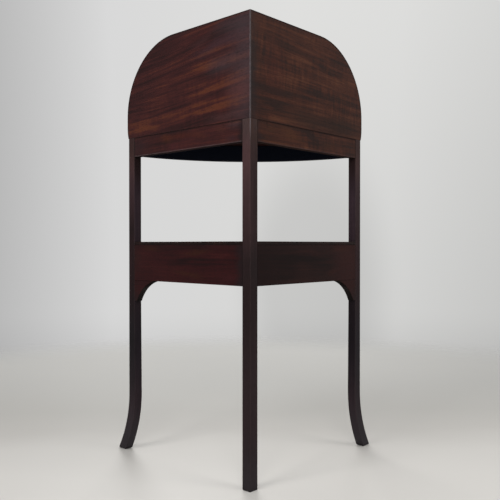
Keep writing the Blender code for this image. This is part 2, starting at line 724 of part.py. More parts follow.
def drawer_front(drawer, wood, bead_wood, sockets):
    start, end = at_x(-DRAWER_HALF), at_x(DRAWER_HALF)
    rim = DRAWER_HALF - BEAD_WIDTH
    mesh = fronted_panel(
        DRAWER_FRONT_INSIDE, start, end, at_x(FIT_GAP - rim), at_x(rim - FIT_GAP), 0, DRAWER_HEIGHT
    )
    front = add_piece("drawer_front", mesh, wood, drawer)
    bead = bead_frame(start, end, at_x(-rim), at_x(rim), 0, DRAWER_HEIGHT)
    add_piece("drawer_bead", bead, bead_wood, drawer)
    reach = DRAWER_INNER + DRAWER_GROOVE
    groove = bow_panel(
        DRAWER_FRONT_INSIDE - CUT_PAST, DRAWER_FRONT_INSIDE + DRAWER_GROOVE, at_x(-reach), at_x(reach),
        DRAWER_BOTTOM_RAISE - FIT_GAP, BOTTOM_TOP + FIT_GAP,
    )
    for cutter in [*sockets, add_cutter("front_groove", groove, wood, drawer)]:
        cut(front, cutter)
    return front


def drawer_back(drawer, wood, sockets):
    depths = (DRAWER_REAR, DRAWER_REAR + DRAWER_BACK_THICKNESS)
    outline = rectangle((-DRAWER_HALF, -depths[1]), (DRAWER_HALF, -depths[0]))
    mesh = prism(outline, BOTTOM_TOP + FIT_GAP, DRAWER_HEIGHT - DRAWER_BACK_DROP)
    back = add_piece("drawer_back", mesh, wood, drawer)
    for cutter in sockets:
        cut(back, cutter)
    return back


def drawer_bottom(drawer, wood):
    """Slides in from behind, in the grooves of the sides and the front."""
    half = DRAWER_INNER + DRAWER_GROOVE - FIT_GAP
    radius = DRAWER_FRONT_INSIDE + DRAWER_GROOVE - FIT_GAP
    start, end = at_x(-half), at_x(half)
    angles = arc_angles(start(radius), end(radius), bow_steps(start, end, radius))
    outline = [on_bow(radius, angle, 0)[:2] for angle in angles]
    outline += [(half, -DRAWER_REAR), (-half, -DRAWER_REAR)]
    mesh = prism(outline, DRAWER_BOTTOM_RAISE, BOTTOM_TOP)
    return add_piece("drawer_bottom", mesh, wood, drawer)


def drawer_way(name, side, corner, wood):
    """The runner under one side of the drawer, the guide beside it and the stop behind its front."""
    inner = DRAWER_HALF - RUNNER_UNDER_DRAWER
    outer = inner + RUNNER_WIDTH
    behind = BOW_RADIUS - DRAWER_RAIL_DEPTH - FIT_GAP
    mesh = prism(way_outline(side, inner, outer, behind), MIDDLE_BOTTOM, DRAWER_RAIL_TOP)
    add_piece(f"drawer_runner_{name}", mesh, wood, corner)

    inner = DRAWER_HALF + GUIDE_GAP
    behind = BOW_RADIUS - MUNTIN_DEPTH - FIT_GAP
    outline = way_outline(side, inner, inner + GUIDE_WIDTH, behind)
    low = DRAWER_RAIL_TOP + FIT_GAP
    add_piece(f"drawer_guide_{name}", prism(outline, low, low + GUIDE_HEIGHT), wood, corner)

    far = DRAWER_HALF - STOP_INSET
    limits = sorted((side * (far - STOP_LENGTH), side * far))
    outside = DRAWER_FRONT_INSIDE - FIT_GAP
    mesh = bow_panel(outside - STOP_DEPTH, outside, at_x(limits[0]), at_x(limits[1]), low, low + STOP_HEIGHT)
    add_piece(f"drawer_stop_{name}", mesh, wood, corner)


def way_outline(side, inner, outer, radius):
    """(x, y) of a strip that runs straight back from the bow to the slanting back rail."""
    rear = ROOT_TWO * (RAIL_THICKNESS + FIT_GAP)
    xs = [inner + (outer - inner) * i / 2 for i in range(3)]
    front = [(side * x, -math.sqrt(radius ** 2 - x ** 2)) for x in xs]
    return front + [(side * outer, -outer - rear), (side * inner, -inner - rear)]


# Knobs

def knob_mesh(thickness):
    """Turned about local Z, which points out of the front. The shank runs back through the nut."""
    shank = KNOB_SHANK_DIAMETER / 2
    rose = KNOB_ROSE_DIAMETER / 2
    neck = KNOB_NECK_DIAMETER / 2
    ball = KNOB_DIAMETER / 2
    tail = thickness + FIT_GAP + NUT_THICKNESS + KNOB_SHANK_SPARE
    rose_face = FIT_GAP + KNOB_ROSE_THICKNESS
    neck_foot = rose_face + KNOB_NECK_HOLLOW
    neck_head = neck_foot + KNOB_NECK_LENGTH
    widest = KNOB_PROJECTION - KNOB_CROWN
    profile = [(shank, -tail), (shank, FIT_GAP), (rose, FIT_GAP)]
    profile += [(rose, rose_face - KNOB_ROSE_CHAMFER), (rose - KNOB_ROSE_CHAMFER, rose_face)]
    profile.append((neck, neck_foot))
    for angle in arc_angles(0, math.pi / 2, KNOB_ROUND_STEPS):
        radius = ball - (ball - neck) * math.cos(angle)
        profile.append((radius, neck_head + (widest - neck_head) * math.sin(angle)))
    for angle in arc_angles(0, math.pi / 2, KNOB_ROUND_STEPS)[1:]:
        radius = shank + (ball - shank) * math.cos(angle)
        profile.append((radius, widest + KNOB_CROWN * math.sin(angle)))
    return solid([circle(radius, KNOB_SIDES, height) for radius, height in profile])


def nut_mesh(thickness):
    """A square nut behind a front."""
    turn = 2 * math.pi / NUT_POINTS
    square, hole = [], []
    for i in range(NUT_POINTS):
        way = (math.cos(turn * i), math.sin(turn * i))
        reach = NUT_SIDE / 2 / max(abs(way[0]), abs(way[1]))
        square.append((way[0] * reach, way[1] * reach))
        bore = KNOB_SHANK_DIAMETER / 2 + FIT_GAP
        hole.append((way[0] * bore, way[1] * bore))
    top = -thickness - FIT_GAP
    low = top - NUT_THICKNESS
    loops = [(square, low), (square, top), (hole, top), (hole, low)]
    return ring([[(x, y, z) for x, y in points] for points, z in loops])


def add_knob(name, parent, brass, front, thickness, angle, height):
    place = on_bow(BOW_RADIUS, angle, height)
    facing = (math.pi / 2, 0, angle)
    hole = rod(KNOB_SHANK_DIAMETER / 2 + FIT_GAP, KNOB_SIDES, -thickness - CUT_PAST, CUT_PAST)
    cut(front, add_cutter(f"knob_hole_{name}", hole, brass, parent, place, facing))
    add_piece(f"knob_{name}", knob_mesh(thickness), brass, parent, place, facing)
    add_piece(f"knob_nut_{name}", nut_mesh(thickness), brass, parent, place, facing)


def build():
    clear_scene()
    board_wood = finish("mahogany_board", (0.085, 0.026, 0.015), 0.38)
    frame_wood = finish("mahogany_frame", (0.045, 0.016, 0.011), 0.36)
    inner_wood = finish("secondary_wood", (0.30, 0.17, 0.085), 0.65)
    brass = finish("brass", (0.55, 0.38, 0.14), 0.32, 1.0)

    stand = add_empty("stand")
    corner = add_empty("corner", stand, (0, CORNER_Y, 0))
    drawer = add_empty("drawer", corner, (0, 0, DRAWER_FLOOR))
    walls = {name: add_empty(f"wall_{name}", corner, turn=wall_turn(side)) for name, side in SIDES.items()}

    post = back_post(corner, frame_wood)
    frieze = (FRIEZE_BOTTOM, FRAME_HEIGHT, TENON_SHOULDER)
    drawer_rail = (MIDDLE_BOTTOM, DRAWER_RAIL_TOP, DRAWER_TENON_SHOULDER)
    bow_rail("upper_front_rail", corner, frame_wood, FRIEZE_THICKNESS, *frieze)
    bow_rail("drawer_rail", corner, frame_wood, DRAWER_RAIL_DEPTH, *drawer_rail)
    top_board(corner, board_wood)
    shelf_board(corner, frame_wood)

    upper = (UPPER_RAIL_BOTTOM, UPPER_RAIL_HEIGHT)
    middle = (MIDDLE_BOTTOM, MIDDLE_RAIL_HEIGHT)
    false_height = (FALSE_BOTTOM + FALSE_TOP) / 2
    for name, side in SIDES.items():
        wall = walls[name]
        leg = front_leg(name, side, wall, frame_wood)
        rail = back_rail("upper_back_rail", name, side, wall, board_wood, *upper)
        back_rail("middle_back_rail", name, side, wall, frame_wood, *middle)
        for place in (upper, middle):
            cut_back_mortises(name, side, wall, frame_wood, post, leg, *place)
        cut_bow_mortise("frieze", name, side, wall, frame_wood, leg, *frieze)
        cut_bow_mortise("drawer_rail", name, side, wall, frame_wood, leg, *drawer_rail)
        back_bracket(name, side, wall, frame_wood)
        front_bracket(name, side, corner, frame_wood)
        board = splash_board(name, side, wall, board_wood)
        splash_dowels(name, side, wall, inner_wood, rail, board)
        glue_blocks(name, side, wall, corner, inner_wood)
        muntin(name, side, corner, frame_wood)
        drawer_way(name, side, corner, inner_wood)
        panel, angle = false_front(name, side, corner, board_wood, frame_wood)
        add_knob(f"false_{name}", corner, brass, panel, FALSE_FRONT_THICKNESS, angle, false_height)

    sockets = drawer_sides(drawer, inner_wood)
    front = drawer_front(drawer, board_wood, frame_wood, sockets)
    drawer_back(drawer, inner_wood, sockets)
    drawer_bottom(drawer, inner_wood)
    add_knob("drawer", drawer, brass, front, DRAWER_FRONT_THICKNESS, 0.0, DRAWER_HEIGHT / 2)


build()
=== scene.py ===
import math
from typing import NamedTuple

import bmesh
import bpy
from mathutils import Matrix, Vector


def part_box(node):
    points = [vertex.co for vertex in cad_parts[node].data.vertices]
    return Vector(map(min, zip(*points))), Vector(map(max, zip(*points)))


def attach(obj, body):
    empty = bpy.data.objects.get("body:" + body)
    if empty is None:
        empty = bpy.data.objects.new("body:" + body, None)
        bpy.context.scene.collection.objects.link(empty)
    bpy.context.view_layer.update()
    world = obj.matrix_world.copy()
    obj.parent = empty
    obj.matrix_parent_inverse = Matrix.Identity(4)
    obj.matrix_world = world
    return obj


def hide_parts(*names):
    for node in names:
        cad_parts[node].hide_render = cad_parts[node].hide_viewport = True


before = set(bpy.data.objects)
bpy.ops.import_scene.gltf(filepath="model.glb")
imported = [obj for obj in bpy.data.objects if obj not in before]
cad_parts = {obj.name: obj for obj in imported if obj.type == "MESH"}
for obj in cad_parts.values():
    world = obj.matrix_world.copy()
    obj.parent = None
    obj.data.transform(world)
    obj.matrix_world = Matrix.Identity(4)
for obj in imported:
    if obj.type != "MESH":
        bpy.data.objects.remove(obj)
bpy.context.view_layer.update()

# The photo's camera. It looks at the back of the stand, along -Y
CAMERA_PLACE = (0.0639, 1.7804, 0.5768)
CAMERA_WAY = (-0.04106, -0.99912, -0.00841)
CAMERA_LENS = 47.87
CAMERA_SENSOR = 36.0

# The room's corner and the bow, from the frame
CORNER = Vector((0.0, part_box("back_post")[1].y, 0.0))
BOW_RADIUS = CORNER.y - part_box("upper_front_rail")[0].y
WALL_TURNS = {"left": math.radians(135), "right": math.radians(45)}
SIDES = ("left", "right")

# Shading of the carried-over solids
MERGE_DISTANCE = 0.00001
SMOOTH_ANGLE = math.radians(50)
FLAT_ANGLE = math.radians(0.2)  # triangles that lie as flat as this are joined before an arris is eased
SHARP_ARRIS = (0.0005, 2)  # width and segments
ROUND_NOSE = (0.0013, 4)

# Knobs, turned about the way out of the front: radius, and distance from the front's face
KNOB_SIDES = 64
KNOB_SHANK = 0.0020
KNOB_PROFILE = (
    (0.0020, 0.0004), (0.0080, 0.0004), (0.0084, 0.0008), (0.0084, 0.0014), (0.0079, 0.0019),
    (0.0068, 0.0021), (0.0064, 0.0024), (0.0062, 0.0029), (0.0054, 0.0034), (0.0044, 0.0044),
    (0.0038, 0.0058), (0.0037, 0.0072), (0.0040, 0.0084), (0.0047, 0.0090), (0.0050, 0.0095),
    (0.0047, 0.0100), (0.0042, 0.0103), (0.0052, 0.0110), (0.0070, 0.0124), (0.0086, 0.0142),
    (0.0096, 0.0161), (0.0099, 0.0176), (0.0097, 0.0188), (0.0090, 0.0199), (0.0078, 0.0207),
    (0.0064, 0.0212), (0.0061, 0.0211), (0.0057, 0.0213), (0.0040, 0.0217), (0.0020, 0.0219),
    (0.0008, 0.0220),
)

# Films of glue that fill fitting gaps: between the shelf and each back rail, and in the mitre of the boards
SHELF_FILM_ENDS = (0.030, 0.430)  # along a wall, from the corner
SHELF_FILM_EDGES = (0.005, 0.016)  # from the wall's plane
MITRE_FILM_EDGES = (0.003, 0.0125)  # from the corner
FILM_WAVER = 0.0012
FILM_PITCH = 1.7  # radians of the waver in one step
FILM_STEPS = 60
FILM_SOAK = 0.0001  # depth that glue soaks into the wood


class Tree:
    """A node tree, with short calls that add a node and link or set its inputs."""

    def __init__(self, tree, prefix="ShaderNode"):
        self.tree = tree
        self.prefix = prefix
        tree.nodes.clear()

    def add(self, kind, inputs=None, **settings):
        node = self.tree.nodes.new(self.prefix + kind)
        for name, value in settings.items():
            setattr(node, name, value)
        for name, value in (inputs or {}).items():
            self.put(node.inputs[name], value)
        return node

    def put(self, socket, value):
        if isinstance(value, bpy.types.NodeSocket):
            self.tree.links.new(value, socket)
        else:
            socket.default_value = value

    def math(self, operation, *values):
        node = self.add("Math", operation=operation)
        for socket, value in zip(node.inputs, values):
            self.put(socket, value)
        return node.outputs[0]

    def vector(self, operation, *values):
        node = self.add("VectorMath", operation=operation)
        for socket, value in zip(node.inputs, values):
            self.put(socket, value)
        return node.outputs[0]

    def scale(self, vector, factor):
        return self.add("VectorMath", {0: vector, "Scale": factor}, operation="SCALE").outputs[0]

    def length(self, vector):
        return self.add("VectorMath", {0: vector}, operation="LENGTH").outputs["Value"]

    def split(self, vector):
        return self.add("SeparateXYZ", {"Vector": vector}).outputs

    def join(self, x, y, z):
        return self.add("CombineXYZ", {"X": x, "Y": y, "Z": z}).outputs[0]

    def turn(self, vector, angle):
        """The vector turned about Z."""
        return self.add(
            "VectorRotate", {"Vector": vector, "Angle": angle}, rotation_type="Z_AXIS"
        ).outputs[0]

    def noise(self, vector, scale, detail=2.0, roughness=0.5):
        """Soft noise with its own number of grains per metre along each axis."""
        stretched = self.vector("MULTIPLY", vector, scale)
        return self.add(
            "TexNoise", {"Vector": stretched, "Scale": 1.0, "Detail": detail, "Roughness": roughness}
        ).outputs[0]

    def centred(self, value):
        return self.math("SUBTRACT", value, 0.5)

    def remap(self, value, low, high, to_low=0.0, to_high=1.0):
        return self.add("MapRange", {
            "Value": value, "From Min": low, "From Max": high, "To Min": to_low, "To Max": to_high,
        }, interpolation_type="SMOOTHSTEP").outputs[0]

    def mix(self, factor, first, second):
        """A mix of two colours."""
        return self.add("Mix", {0: factor, 6: first, 7: second}, data_type="RGBA").outputs[2]

    def ramp(self, value, stops):
        node = self.add("ValToRGB", {"Fac": value})
        points = node.color_ramp.elements
        while len(points) < len(stops):
            points.new(0.5)
        for point, (place, colour) in zip(points, stops):
            point.position = place
            point.color = colour
        return node.outputs[0]

    def bump(self, height, strength, distance):
        return self.add("Bump", {"Height": height, "Strength": strength, "Distance": distance}).outputs[0]

    def surface(self, inputs):
        """A principled shader as the material's surface."""
        shader = self.add("BsdfPrincipled", inputs)
        self.add("OutputMaterial", {"Surface": shader.outputs[0]})


def new_material(name):
    material = bpy.data.materials.new(name)
    material.use_nodes = True
    return material, Tree(material.node_tree)


def rgb(red, green, blue):
    return (red, green, blue, 1.0)


def grey(level):
    return rgb(level, level, level)


# Woods

class Look(NamedTuple):
    """One kind of wood: its tones from dark to light, and how it is figured, polished and worn."""
    dark: tuple
    middle: tuple
    warm: tuple
    light: tuple
    streak: tuple = (1.6, 38.0, 38.0)  # grains per metre: along the grain, across it, through it
    streak_share: float = 0.6
    vein_share: float = 0.45  # finer streaks
    ripple: float = 0.12  # cross figure
    cloud: float = 0.35  # blotches
    roughness: float = 0.42
    gloss: float = 0.13  # specular level
    worn: tuple = rgb(0.075, 0.055, 0.052)
    wear: float = 0.40
    softness: float = 0.003  # reach of the wear, from an edge
    arris: float = 0.0  # wear and painted highlight: a light line down the room's corner
    rim: float = 0.0  # painted shade: a dark line along a board's upper edge
    foot: float = 0.0  # wear and painted highlight: a light line along a rail's lower arris
    raw: tuple = rgb(0.03, 0.018, 0.013)  # unpolished back of a bowed front; on the frieze, painted shade
    side: float = 1.0  # painted shade: how light the edges of a flat board are
    levels: tuple = ()  # painted light and shade: heights, and how light an upright is there: on its wall face, and beside it
    tint: tuple = ()  # painted light and shade: heights, and the tint of an upright's wall face there


class Mark(NamedTuple):
    """One mark in a board's figure, of dirt, or of painted sheen and shade, placed along the wall from the
    corner and up from the floor.
    """
    along: float
    up: float
    length: float  # half of it
    width: float  # half of it
    slope: float  # degrees
    tone: float = 0.0  # lifts or lowers the tone of the wood
    stain: tuple = None  # or brings its own colour
    strength: float = 0.0


class Dirt(NamedTuple):
    """Dirt that gathers in corners; on the wood, painted shade there too."""
    colour: tuple
    reach: float
    fade: tuple  # openness at which it is full, and at which it is gone
    strength: float


RED_BOARD = Look(
    rgb(0.019, 0.0062, 0.0064), rgb(0.033, 0.0090, 0.0092),
    rgb(0.048, 0.0122, 0.0108), rgb(0.082, 0.0230, 0.0120),
    streak=(1.8, 55.0, 55.0), streak_share=0.72, vein_share=0.62, ripple=0.22, cloud=0.55,
    gloss=0.105, wear=0.12, softness=0.009, arris=0.9, rim=0.9,
)
BROWN_BOARD = Look(
    rgb(0.0195, 0.0078, 0.0061), rgb(0.0390, 0.0120, 0.0074),
    rgb(0.0540, 0.0168, 0.0095), rgb(0.0780, 0.0270, 0.0140),
    streak=(1.8, 50.0, 50.0), streak_share=0.65, vein_share=0.75, ripple=0.55, cloud=0.55,
    gloss=0.105, wear=0.12, softness=0.009, arris=0.9, rim=0.9,
)
FRONT_BOARD = RED_BOARD._replace(gloss=0.13, wear=0.3, softness=0.003, arris=0.0, rim=0.0)
RED_RAIL = Look(
    rgb(0.012, 0.0028, 0.0033), rgb(0.023, 0.0038, 0.0045),
    rgb(0.028, 0.0046, 0.0050), rgb(0.040, 0.0080, 0.0080),
    streak_share=0.65, vein_share=0.45, cloud=0.45, gloss=0.105, wear=0.0, rim=0.75,
)
BROWN_RAIL = Look(
    rgb(0.0070, 0.0023, 0.0023), rgb(0.0122, 0.0037, 0.0035),
    rgb(0.0155, 0.0048, 0.0042), rgb(0.0245, 0.0080, 0.0066),
    streak_share=0.8, vein_share=0.6, cloud=0.60, gloss=0.10, wear=0.0, rim=0.75,
)
POST_WOOD = Look(
    rgb(0.021, 0.0100, 0.0107), rgb(0.030, 0.0143, 0.0153),
    rgb(0.035, 0.0167, 0.0178), rgb(0.048, 0.0250, 0.0265),
    # Painted light and shade of the post, by height and face
    levels=(
        (0.00, 0.85, 0.90), (0.10, 0.78, 0.85), (0.26, 0.65, 0.76), (0.40, 0.52, 0.53),
        (0.53, 0.40, 0.36), (0.61, 0.90, 0.78), (0.68, 1.15, 0.64), (0.76, 1.80, 0.74),
        (0.82, 1.75, 0.95), (0.84, 1.55, 1.15),
    ),
    arris=0.8,
)
LEG_WOOD = Look(
    rgb(0.0143, 0.0085, 0.0112), rgb(0.0210, 0.0125, 0.0165),
    rgb(0.0250, 0.0148, 0.0192), rgb(0.0350, 0.0215, 0.0268),
    tint=(
        (0.36, rgb(1.0, 1.00, 1.00)), (0.46, rgb(1.0, 0.55, 0.50)), (0.56, rgb(1.0, 0.55, 0.50)),
        (0.64, rgb(1.0, 0.72, 0.66)), (0.74, rgb(1.0, 0.82, 0.74)), (0.80, rgb(1.0, 0.92, 0.86)),
    ),
)
# Painted light and shade of each leg, by height and face
LEG_PAINTED_LIGHT = {
    "right": (
        (0.00, 1.15, 1.45), (0.08, 1.20, 1.35), (0.20, 0.62, 1.10), (0.31, 0.32, 0.72),
        (0.42, 0.56, 0.90), (0.53, 0.72, 1.20), (0.62, 0.46, 1.45), (0.70, 1.35, 1.70),
        (0.79, 1.95, 0.75), (0.84, 1.30, 0.60),
    ),
    "left": (
        (0.00, 1.25, 1.40), (0.08, 1.10, 1.30), (0.20, 0.66, 0.76), (0.31, 0.55, 0.46),
        (0.42, 0.74, 0.60), (0.53, 1.00, 1.20), (0.62, 1.00, 1.75), (0.70, 1.45, 2.10),
        (0.79, 1.90, 1.15), (0.84, 1.30, 0.80),
    ),
}
FRAME_WOOD = Look(
    rgb(0.010, 0.004, 0.004), rgb(0.021, 0.007, 0.006),
    rgb(0.030, 0.010, 0.008), rgb(0.044, 0.016, 0.011),
)
BEAD_WOOD = FRAME_WOOD._replace(worn=rgb(0.055, 0.026, 0.018), wear=0.8)
# Its edges are darker: painted shade
SHELF_WOOD = FRAME_WOOD._replace(side=0.42, wear=0.0)
# Its inside is near black and bluish: painted shade
FRIEZE_WOOD_SHADED_INSIDE = FRAME_WOOD._replace(raw=rgb(0.0052, 0.0080, 0.0180))
INNER_WOOD = Look(
    rgb(0.115, 0.060, 0.028), rgb(0.205, 0.115, 0.055),
    rgb(0.27, 0.160, 0.080), rgb(0.34, 0.215, 0.115),
    streak=(1.6, 90.0, 90.0), ripple=0.05, roughness=0.68, worn=rgb(0.32, 0.21, 0.12), wear=0.3,
    raw=rgb(0.16, 0.09, 0.045),
)
BLOCK_WOOD = INNER_WOOD._replace(
    dark=rgb(0.038, 0.019, 0.010), middle=rgb(0.066, 0.034, 0.018),
    warm=rgb(0.085, 0.046, 0.025), light=rgb(0.115, 0.066, 0.037),
    worn=rgb(0.10, 0.060, 0.036), raw=rgb(0.055, 0.028, 0.015),
)
BOARDS = {"left": BROWN_BOARD, "right": RED_BOARD}
BOARD_SEEDS = {"left": (3.1, 0.7, 2.2), "right": (1.3, 4.4, 0.6)}
BOARD_TILTS = {"left": math.radians(2.0), "right": math.radians(4.5)}
RAILS = {"left": BROWN_RAIL, "right": RED_RAIL}
RAIL_FOOT_WEAR_AND_HIGHLIGHT = {"left": 0.35, "right": 0.8}  # of the upper rails: wear and painted highlight on the lower arris

# A light line down the corner: wear and a painted highlight
ARRIS_WEAR_AND_HIGHLIGHT = rgb(0.115, 0.095, 0.102)
# A light line on a rail's lower arris: wear and a painted highlight
FOOT_WEAR_AND_HIGHLIGHT = rgb(0.105, 0.074, 0.077)
PORE_COLOUR = rgb(0.006, 0.003, 0.002)
# Painted shade along the upper edges of boards and rails
RIM_SHADE_COLOUR = rgb(0.009, 0.006, 0.006)
# Dirt in the corners between pieces, and painted shade there
WOOD_DIRT_AND_SHADE = Dirt(rgb(0.004, 0.003, 0.003), 0.014, (0.25, 0.8), 0.75)

# Stains in the figure, and colours of dirt, painted sheen and painted shade
# Greyish painted sheen on the polish
PAINTED_SHEEN = rgb(0.060, 0.047, 0.055)
PURPLE = rgb(0.030, 0.017, 0.024)
PINK = rgb(0.088, 0.0290, 0.0270)
# Darker where a rail or bracket meets an upright: dirt and painted shade
SHOULDER_DIRT_AND_SHADE = rgb(0.0125, 0.0070, 0.0080)
BROWN_PATCH = rgb(0.030, 0.0086, 0.0044)
ORANGE_PATCH = rgb(0.060, 0.0205, 0.0085)
RED_PATCH = rgb(0.056, 0.0125, 0.0072)

SPLASH_MARKS = {
    "right": (
        Mark(0.130, 0.908, 0.210, 0.012, -2.2, tone=0.27),
        Mark(0.095, 0.961, 0.130, 0.014, -6.0, tone=0.18),
        Mark(0.155, 0.886, 0.170, 0.011, -3.5, tone=-0.12),
        Mark(0.165, 0.931, 0.070, 0.013, -4.0, tone=0.22),
        Mark(0.240, 1.017, 0.070, 0.013, -7.0, tone=-0.15),
        Mark(0.285, 1.064, 0.110, 0.013, -8.0, tone=0.16),
        Mark(0.140, 0.966, 0.130, 0.006, -8.3, tone=-0.14),
        Mark(0.143, 1.015, 0.060, 0.016, -6.0, tone=0.16),
        Mark(0.330, 1.060, 0.200, 0.070, -10.0, tone=-0.09),
        Mark(0.380, 0.890, 0.110, 0.012, -1.5, tone=0.22),
        Mark(0.050, 1.000, 0.085, 0.032, -6.0, tone=0.17),
        Mark(0.055, 0.905, 0.100, 0.036, -2.0, tone=0.16),
        Mark(0.250, 0.955, 0.110, 0.034, -5.0, tone=-0.18),
        Mark(0.200, 1.047, 0.100, 0.026, -8.0, tone=-0.11),
        Mark(0.100, 1.062, 0.140, 0.024, -9.7, stain=PURPLE, strength=0.6),
        Mark(0.060, 1.100, 0.100, 0.034, 0.0, stain=PAINTED_SHEEN, strength=0.25),
        Mark(0.095, 1.012, 0.080, 0.036, -6.0, stain=PAINTED_SHEEN, strength=0.32),
        Mark(0.165, 1.080, 0.070, 0.014, -9.0, stain=rgb(0.046, 0.0165, 0.0175), strength=0.5),
        Mark(0.080, 0.883, 0.100, 0.018, -2.0, stain=rgb(0.060, 0.0250, 0.0250), strength=0.5),
        Mark(0.000, 0.990, 0.100, 0.300, 0.0, stain=PAINTED_SHEEN, strength=0.42),
        Mark(0.035, 0.945, 0.070, 0.045, -3.0, stain=PINK, strength=0.45),
    ),
    "left": (
        Mark(0.077, 0.946, 0.070, 0.010, -2.0, tone=-0.22),
        Mark(0.087, 0.910, 0.060, 0.010, -2.0, tone=-0.22),
        Mark(0.030, 0.884, 0.060, 0.018, -2.0, tone=-0.20),
        Mark(0.310, 1.033, 0.130, 0.010, -11.0, tone=-0.14),
        Mark(0.300, 1.012, 0.090, 0.011, -9.0, tone=0.10),
        Mark(0.085, 1.000, 0.060, 0.100, 0.0, stain=rgb(0.050, 0.0105, 0.0075), strength=0.35),
        Mark(0.250, 0.894, 0.230, 0.036, -2.0, stain=rgb(0.0185, 0.0085, 0.0062), strength=0.72),
        Mark(0.380, 0.896, 0.140, 0.046, 0.0, stain=rgb(0.0185, 0.0088, 0.0064), strength=0.66),
        # Darker along the corner: dirt and painted shade
        Mark(0.000, 0.970, 0.034, 0.300, 0.0, stain=rgb(0.016, 0.0115, 0.0118), strength=0.85),
    ),
}
# On an upright, a mark is placed by its height first, and one this wide goes all round
ALL_ROUND = 5.0
LEG_MARKS = (
    # Painted shade: darker and bluer at this height
    Mark(0.30, 0.0, 0.17, ALL_ROUND, 0.0, stain=rgb(0.0172, 0.0122, 0.0182), strength=0.7),
    # Greyer and bluer at the foot
    Mark(0.00, 0.0, 0.16, ALL_ROUND, 0.0, stain=rgb(0.0208, 0.0180, 0.0212), strength=0.9),
    # Browner under the top
    Mark(0.84, 0.0, 0.12, ALL_ROUND, 0.0, stain=rgb(0.026, 0.0122, 0.0112), strength=0.9),
)
POST_MARKS = (
    # Painted shade: darker and bluer at this height
    Mark(0.20, 0.0, 0.36, ALL_ROUND, 0.0, stain=rgb(0.025, 0.0150, 0.0184), strength=0.6),
    Mark(0.00, 0.0, 0.16, ALL_ROUND, 0.0, stain=rgb(0.0265, 0.0215, 0.0248), strength=0.9),
    # Painted sheen: lighter and greyer at the top
    Mark(0.87, 0.0, 0.08, ALL_ROUND, 0.0, stain=rgb(0.035, 0.0215, 0.0205), strength=0.8),
    # Mostly on the face at the left wall
    Mark(0.87, 0.0, 0.12, 0.006, 0.0, stain=rgb(0.030, 0.0125, 0.0085), strength=0.8),
)
RAIL_MARKS = {
    "right": (
        Mark(0.200, 0.845, 0.150, 0.040, -3.0, stain=rgb(0.048, 0.0110, 0.0112), strength=0.4),
        Mark(0.420, 0.845, 0.070, 0.040, 0.0, stain=rgb(0.024, 0.0120, 0.0140), strength=0.5),
        Mark(0.300, 0.855, 0.040, 0.018, 20.0, stain=rgb(0.060, 0.0185, 0.0075), strength=0.5),
        Mark(0.180, 0.852, 0.050, 0.016, 12.0, stain=rgb(0.062, 0.0165, 0.0100), strength=0.45),
        Mark(0.268, 0.830, 0.030, 0.013, -6.0, stain=rgb(0.056, 0.0130, 0.0150), strength=0.35),
        Mark(0.262, 0.855, 0.110, 0.014, 2.0, stain=RED_PATCH, strength=0.60),
        Mark(0.095, 0.855, 0.032, 0.014, 10.0, stain=rgb(0.060, 0.0190, 0.0140), strength=0.5),
        Mark(0.400, 0.827, 0.065, 0.016, 0.0, stain=rgb(0.024, 0.0095, 0.0100), strength=0.55),
        Mark(0.045, 0.864, 0.050, 0.020, 0.0, stain=PAINTED_SHEEN, strength=0.28),
        Mark(0.058, 0.828, 0.040, 0.017, 0.0, stain=rgb(0.026, 0.0110, 0.0140), strength=0.65),
        Mark(0.026, 0.845, 0.020, 0.500, 0.0, stain=SHOULDER_DIRT_AND_SHADE, strength=0.85),
    ),
    "left": (
        Mark(0.150, 0.850, 0.075, 0.022, -14.0, stain=ORANGE_PATCH, strength=0.62),
        Mark(0.074, 0.854, 0.030, 0.016, -10.0, stain=ORANGE_PATCH, strength=0.40),
        Mark(0.305, 0.838, 0.060, 0.016, 6.0, stain=ORANGE_PATCH, strength=0.36),
        Mark(0.228, 0.854, 0.045, 0.016, -22.0, tone=-0.22),
        Mark(0.190, 0.828, 0.080, 0.012, -10.0, tone=0.12),
        Mark(0.026, 0.845, 0.020, 0.500, 0.0, stain=SHOULDER_DIRT_AND_SHADE, strength=0.6),
    ),
}
